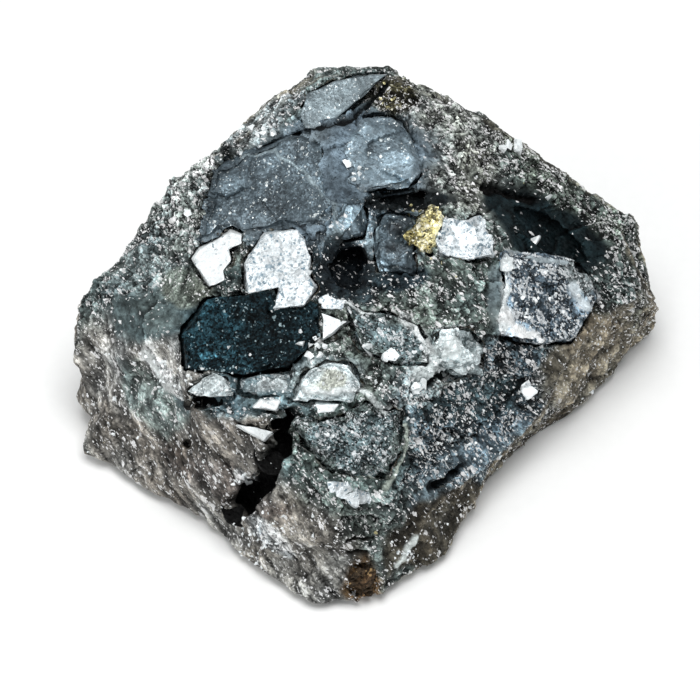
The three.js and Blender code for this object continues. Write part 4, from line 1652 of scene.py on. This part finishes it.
CRYSTALS = (
    Crystal("crown_crystal", TARNISHED, swell=0.16, grit=0.02, stains_and_painted_light=CROWN_STAINS),
    Crystal(
        "slab_crystal",
        TARNISHED,
        swell=0.3,
        shades=0.4,
        planes=5.5,
        melted=True,
        ground="#58646b",
        stains_and_painted_light=SLAB_STAINS,
    ),
    Crystal(
        "dome_crystal",
        TARNISHED,
        swell=0.25,
        shades=0.35,
        planes=4.5,
        melted=True,
        ground="#65727a",
        stains_and_painted_light=DOME_TONES_AND_HIGHLIGHTS,
    ),
    Crystal(
        "column_crystal_left",
        TARNISHED,
        grit=0.06,
        shades=0.8,
        planes=1.3,
        melted=True,
        ground="#3c484f",
        stains_and_painted_light=COLUMN_HIGHLIGHTS_AND_SHADE,
    ),
    Crystal(
        "column_crystal_right",
        TARNISHED,
        swell=0.3,
        grit=0.08,
        shades=1.0,
        planes=1.1,
        melted=True,
        rim_sink=0.5,
        wander=0.5,
        ground="#525f66",
        stains_and_painted_light=COLUMN_HIGHLIGHTS_AND_SHADE,
    ),
    Crystal("block_crystal", GRANULAR, grit=0.09, planes=6.0, shades=0.3, chips=0.35, stains_and_painted_light=BLOCK_STAINS_AND_HIGHLIGHTS),
    Crystal("dark_hex_crystal", DARK, swell=0.2, grit=0.06, shades=0.6, stains_and_painted_light=HEX_STAINS),
    Crystal("ridge_crystal", MOTTLED, swell=0.2, grit=0.08, shades=0.8, planes=2.0, melted=True),
    Crystal("front_facet_crystal", MOTTLED, Cut.ROUGH, grit=0.08, shades=0.8, planes=3.0, melted=True),
    Crystal("bright_hex_crystal", PITTED_WITH_PAINTED_REFLECTION, swell=0.1, grit=0.06, shades=0.3),
    Crystal("bright_left_crystal", FRESH_WITH_PAINTED_REFLECTION, swell=0.08, grit=0.02, shades=0.05),
    Crystal("bright_right_crystal", PITTED_WITH_PAINTED_REFLECTION, Cut.ROUGH, swell=0.1, grit=0.06),
    Crystal("upper_shard", PITTED_WITH_PAINTED_REFLECTION, grit=0.03),
    Crystal("lower_shard", FRESH_WITH_PAINTED_REFLECTION, grit=0.02, shades=0.1),
    Crystal("left_chip", FRESH_WITH_PAINTED_REFLECTION, grit=0.02),
    Crystal("right_chip", FRESH_WITH_PAINTED_REFLECTION, grit=0.03),
    Crystal("sliver_crystal", FRESH_WITH_PAINTED_REFLECTION, grit=0.02, shades=0.1),
    Crystal("front_crystal", PITTED_WITH_PAINTED_REFLECTION, Cut.ROUGH, grit=0.06),
    Crystal("side_grain", FRESH_WITH_PAINTED_REFLECTION, Cut.ROUGH, grit=0.05),
    Crystal(
        "patch_crystal",
        PALE,
        Cut.ROUGH,
        grit=0.08,
        shades=0.8,
        planes=2.0,
        melted=True,
        rim_sink=0.5,
        wander=0.8,
        ground="#8e9a9c",
        stains_and_painted_light=(Shade("whole", 7.7, -2.4, 9, 9, 0, 1.5),),
    ),
    Crystal("shelf_crystal", PALE, grit=0.04, shades=0.5, planes=2.0),
    Crystal(
        "plate_crystal",
        PALE,
        grit=0.05,
        shades=0.6,
        planes=2.0,
        melted=True,
        ground="#6f8389",
        stains_and_painted_light=(Shade("whole", -10.2, -4.6, 9, 9, 0, 0.8),),
    ),
    Crystal(
        "wedge_crystal",
        PALE,
        grit=0.04,
        shades=0.5,
        planes=2.5,
        melted=True,
        rim_sink=0.2,
        ground="#b9c5c7",
        stains_and_painted_light=WEDGE_STAINS,
    ),
    Crystal("gold_grain", CHALCOPYRITE, Cut.ROUGH, grit=0.14, shades=0.8, stains_and_painted_light=GOLD_TINGE_AND_HIGHLIGHT),
    Crystal(
        "rust_nub",
        LIMONITE,
        Cut.ROUGH,
        swell=0.5,
        grit=0.18,
        shades=0.9,
        chips=0.6,
        melted=True,
        wander=0.6,
        ground="#3d3226",
    ),
)


# Bright grains


@dataclass(frozen=True)
class Cluster:
    """A place where small bright crystals sit on the mass.

    Attributes:
        across, up: Its middle on the crystal face's plane, in millimetres.
        spread: How far from the middle they lie, in millimetres.
        count: How many there are.
        size: Width of the largest, in millimetres.
    """

    across: float
    up: float
    spread: float
    count: int
    size: float


WHITE_CLUSTERS = (
    Cluster(-17.1, 11.3, 0.0, 1, 1.5),
    Cluster(-10.3, 18.8, 1.3, 9, 1.1),
    Cluster(-2.1, 15.8, 0.0, 1, 2.0),
    Cluster(-0.9, 14.9, 0.7, 4, 0.8),
    Cluster(0.1, -1.9, 0.1, 2, 2.4),
    Cluster(2.0, -2.2, 0.1, 2, 2.4),
    Cluster(4.3, -5.4, 0.4, 4, 2.2),
    Cluster(-5.1, -1.1, 1.3, 12, 1.0),
    Cluster(15.7, 8.6, 0.1, 1, 1.7),
    Cluster(17.3, 12.8, 0.0, 1, 1.2),
    Cluster(13.3, 18.1, 1.0, 6, 1.5),
    Cluster(7.5, -10.4, 1.8, 16, 0.5),
    Cluster(-9.3, -19.5, 2.8, 34, 0.5),
    Cluster(-11.6, -13.8, 0.7, 10, 0.7),
    Cluster(-19.4, -3.9, 1.8, 30, 0.5),
    Cluster(3.4, -20.6, 1.2, 12, 0.5),
    Cluster(15.6, 3.2, 3.0, 26, 0.6),
    Cluster(-6.5, 5.5, 2.0, 6, 0.7),
    Cluster(8.0, -3.0, 3.0, 34, 0.55),
    Cluster(-2.0, -6.5, 3.5, 34, 0.55),
    Cluster(-15.0, -6.0, 3.0, 20, 0.5),
    Cluster(11.0, -12.0, 3.5, 30, 0.45),
)
BRASSY_CLUSTERS = (
    Cluster(1.9, 22.2, 1.3, 9, 0.55),
    Cluster(4.6, 11.6, 0.8, 4, 0.5),
    Cluster(7.0, 7.0, 2.5, 4, 0.4),
)


@dataclass
class StrewnGrains:
    """Small crystals strewn over the mass, each a flat-faced grain of its own.

    Attributes:
        name: The piece's name.
        finish: What they are made of.
        clusters: Where they gather.
        strewn: How many lie singly all over, besides the clusters.
        seed: Picks their places and shapes.
        corners: Corners of a grain before its hull is drawn.
        sunk: Share of a grain's height that is in the mass.
        gathering: How closely a cluster's grains keep to its middle, against its spread.
        field: Lowest and highest places of the single grains, across and up, in millimetres.
        single: Width of the smallest single grain and how much wider the largest is, in millimetres.
        rarity: How rare large single grains are.
        sizes: Smallest and largest width of a grain, against the width asked for.
        stretch: Least and most that a grain is drawn out along each axis.
        start: Height that grains drop from, in millimetres.
        lowest: Height above the ground from which they may lie, in millimetres.
    """

    name: str
    finish: Finish
    clusters: tuple[Cluster, ...]
    strewn: int
    seed: int
    corners: int = 9
    sunk: float = 0.35
    gathering: float = 0.6
    field: tuple[tuple[float, float], tuple[float, float]] = ((-27, -25), (27, 24))
    single: tuple[float, float] = (0.18, 0.42)
    rarity: int = 3
    sizes: tuple[float, float] = (0.55, 1)
    stretch: tuple[float, float] = (0.75, 1.15)
    start: float = 40.0
    lowest: float = 1.0

    def build(self, ground: list[Skin]) -> bpy.types.Object:
        """Sets the grains on the surface.

        Args:
            ground: The surfaces that they may sit on.

        Returns:
            One piece with all the grains.
        """
        random = np.random.default_rng(self.seed)
        joined = Skin.joined(ground)
        tree = BVHTree.FromPolygons(joined.points.tolist(), joined.faces.tolist())
        spots = []
        for cluster in self.clusters:
            for _ in range(cluster.count):
                across = cluster.across + cluster.spread * random.normal() * self.gathering
                up = cluster.up + cluster.spread * random.normal() * self.gathering
                spots.append((across, up, cluster.size))
        low, high = self.field
        single = random.uniform((*low, 0.0), (*high, 1.0), (self.strewn, 3))
        ragged = ragged_edge(single)
        bare = np.max([zone.share(single, ragged) for zone in ZONES if zone.bare], axis=0)
        smallest, more = self.single
        spots += [
            (across, up, smallest + more * luck**self.rarity) for across, up, luck in single[bare < 0.5]
        ]
        body = bmesh.new()
        for across, up, size in spots:
            start = Vector(off_face(np.array([across, up, self.start])))
            place, normal, _, _ = tree.ray_cast(start, Vector(-OUTWARD))
            if place is None or place.z < self.lowest:
                continue
            width = size * random.uniform(*self.sizes)
            self.add_grain(body, random, np.array(place), np.array(normal), width)
        mesh = bpy.data.meshes.new(self.name)
        body.to_mesh(mesh)
        body.free()
        skin = Skin.of(mesh, 1.0)
        skin.tint = np.ones((len(skin.points), 3))
        return add_piece(self.name, skin, self.finish, crease=20)

    def add_grain(
        self, body: bmesh.types.BMesh, random: np.random.Generator, place: Array, normal: Array, size: float
    ) -> None:
        """Adds one faceted grain.

        Args:
            body: The mesh that collects them, in millimetres.
            random: The source of its shape.
            place: Where it sits.
            normal: Direction out of the surface there.
            size: Its width in millimetres.
        """
        loose = random.normal(size=(self.corners, 3))
        loose /= np.linalg.norm(loose, axis=1, keepdims=True)
        loose *= size / 2 * random.uniform(*self.stretch, (1, 3))
        centre = place + normal * size * (0.5 - self.sunk)
        add_hull(body, centre + loose)


# Stage


@dataclass
class Studio:
    """Floor, soft light and camera.

    Attributes:
        distance: Camera to the specimen, in metres.
        view_width: Width that the view takes in at the specimen, in metres.
        elevation: Camera height above the horizon, in degrees.
        aim: Point of the crystal face's plane at the middle of the view, in millimetres.
        sensor: Width of the camera's sensor, in millimetres.
        nearest: Distance from which the camera sees, in metres.
        floor_width: Side of the floor, in metres.
        floor_tooth: Width of the card's tooth, in metres.
        floor_roughness: Roughness of the card.
        surrounding: Strength of the light from all round.
        middle: Height that the soft boxes face, in metres.
    """

    distance: float = 1.4
    view_width: float = 0.0665
    elevation: float = 55.0
    aim: tuple[float, float, float] = (-1.7, -1.68, -3.0)
    sensor: float = 36.0
    nearest: float = 0.01
    floor_width: float = 12.0
    floor_tooth: float = 1 / 900
    floor_roughness: float = 0.9
    surrounding: float = 0.48
    middle: float = 0.01

    def build(self) -> None:
        """Makes the whole studio."""
        self.floor()
        self.lights()
        self.camera()

    def floor(self) -> bpy.types.Object:
        """Lays a sheet of matt white card.

        Returns:
            The floor.
        """
        # Matt white card, pressed: plain and pale, with a barely visible tooth.
        card = bpy.data.materials.new("white_card_matt")
        card.use_nodes = True
        tree = card.node_tree
        shader = tree.nodes["Principled BSDF"]
        shader.inputs["Roughness"].default_value = self.floor_roughness
        place = add_node(tree, "ShaderNodeTexCoord").outputs["Object"]
        fibres = {"Vector": place, "Scale": 1 / self.floor_tooth}
        tooth = add_node(tree, "ShaderNodeTexNoise", fibres).outputs["Fac"]
        mixed = {0: tooth, 6: linear("#f4f4f3"), 7: linear("#f8f8f7")}
        colour = add_node(tree, "ShaderNodeMix", mixed, data_type="RGBA").outputs[2]
        tree.links.new(colour, shader.inputs["Base Color"])
        half = self.floor_width / 2
        mesh = bpy.data.meshes.new("floor")
        corners = [(-half, -half, 0), (half, -half, 0), (half, half, 0), (-half, half, 0)]
        mesh.from_pydata(corners, [], [(0, 1, 2, 3)])
        mesh.materials.append(card)
        sheet = bpy.data.objects.new("floor", mesh)
        bpy.context.scene.collection.objects.link(sheet)
        return sheet

    def lights(self) -> None:
        """Hangs one large soft box overhead and fills from all round."""
        self.softbox("overhead", place=(0.0, -0.02, 0.42), size=0.26, power=1.4)
        self.softbox("left_fill", place=(-0.40, -0.18, 0.30), size=0.22, power=0.38)
        world = bpy.data.worlds.new("studio")
        world.use_nodes = True
        background = world.node_tree.nodes["Background"]
        background.inputs["Color"].default_value = linear("#f2f5f7")
        background.inputs["Strength"].default_value = self.surrounding
        bpy.context.scene.world = world
        bpy.context.scene.view_settings.view_transform = "Standard"

    def softbox(self, name: str, place: tuple[float, float, float], size: float, power: float) -> None:
        """Hangs one square soft box that faces the specimen.

        Args:
            name: Its name.
            place: Where it hangs, in metres.
            size: Its side, in metres.
            power: Its power, in watts.
        """
        lamp = bpy.data.lights.new(name, "AREA")
        lamp.size = size
        lamp.energy = power
        holder = bpy.data.objects.new(name, lamp)
        holder.location = place
        back = Vector(place) - Vector((0, 0, self.middle))
        holder.rotation_euler = back.to_track_quat("Z", "Y").to_euler()
        bpy.context.scene.collection.objects.link(holder)

    def camera(self) -> None:
        """Sets up a long lens square to the crystal face."""
        lens = bpy.data.cameras.new("camera")
        lens.sensor_width = self.sensor
        lens.lens = lens.sensor_width * self.distance / self.view_width
        lens.clip_start = self.nearest
        holder = bpy.data.objects.new("camera", lens)
        rise = math.radians(self.elevation)
        back = Vector((0, -math.cos(rise), math.sin(rise)))
        holder.location = Vector(off_face(np.array(self.aim))) * MM + back * self.distance
        holder.rotation_euler = back.to_track_quat("Z", "Y").to_euler()
        bpy.context.scene.collection.objects.link(holder)
        bpy.context.scene.camera = holder


def main() -> None:
    """Builds the studio, the ore, its crystals and its grains, in that order."""
    logging.basicConfig(level=logging.INFO, format="%(message)s")
    Studio().build()
    skin = OreMass(crystals=CRYSTALS).build()
    ore = add_piece("ore_mass", skin, ORE, crease=32)
    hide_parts("ore_matrix")
    log.info("%s: %d faces", ore.name, len(ore.data.polygons))
    ground = [skin]
    for crystal in CRYSTALS:
        piece = crystal.build()
        ground.append(Skin.of(piece.data))
        log.info("%s: %d faces", piece.name, len(piece.data.polygons))
    for strewn in (
        StrewnGrains("bright_grains", FRESH_WITH_PAINTED_REFLECTION, WHITE_CLUSTERS, strewn=550, seed=86),
        StrewnGrains("brassy_grains", CHALCOPYRITE, BRASSY_CLUSTERS, strewn=8, seed=87),
    ):
        grains = strewn.build(ground)
        log.info("%s: %d faces", grains.name, len(grains.data.polygons))


if __name__ == "__main__":
    main()
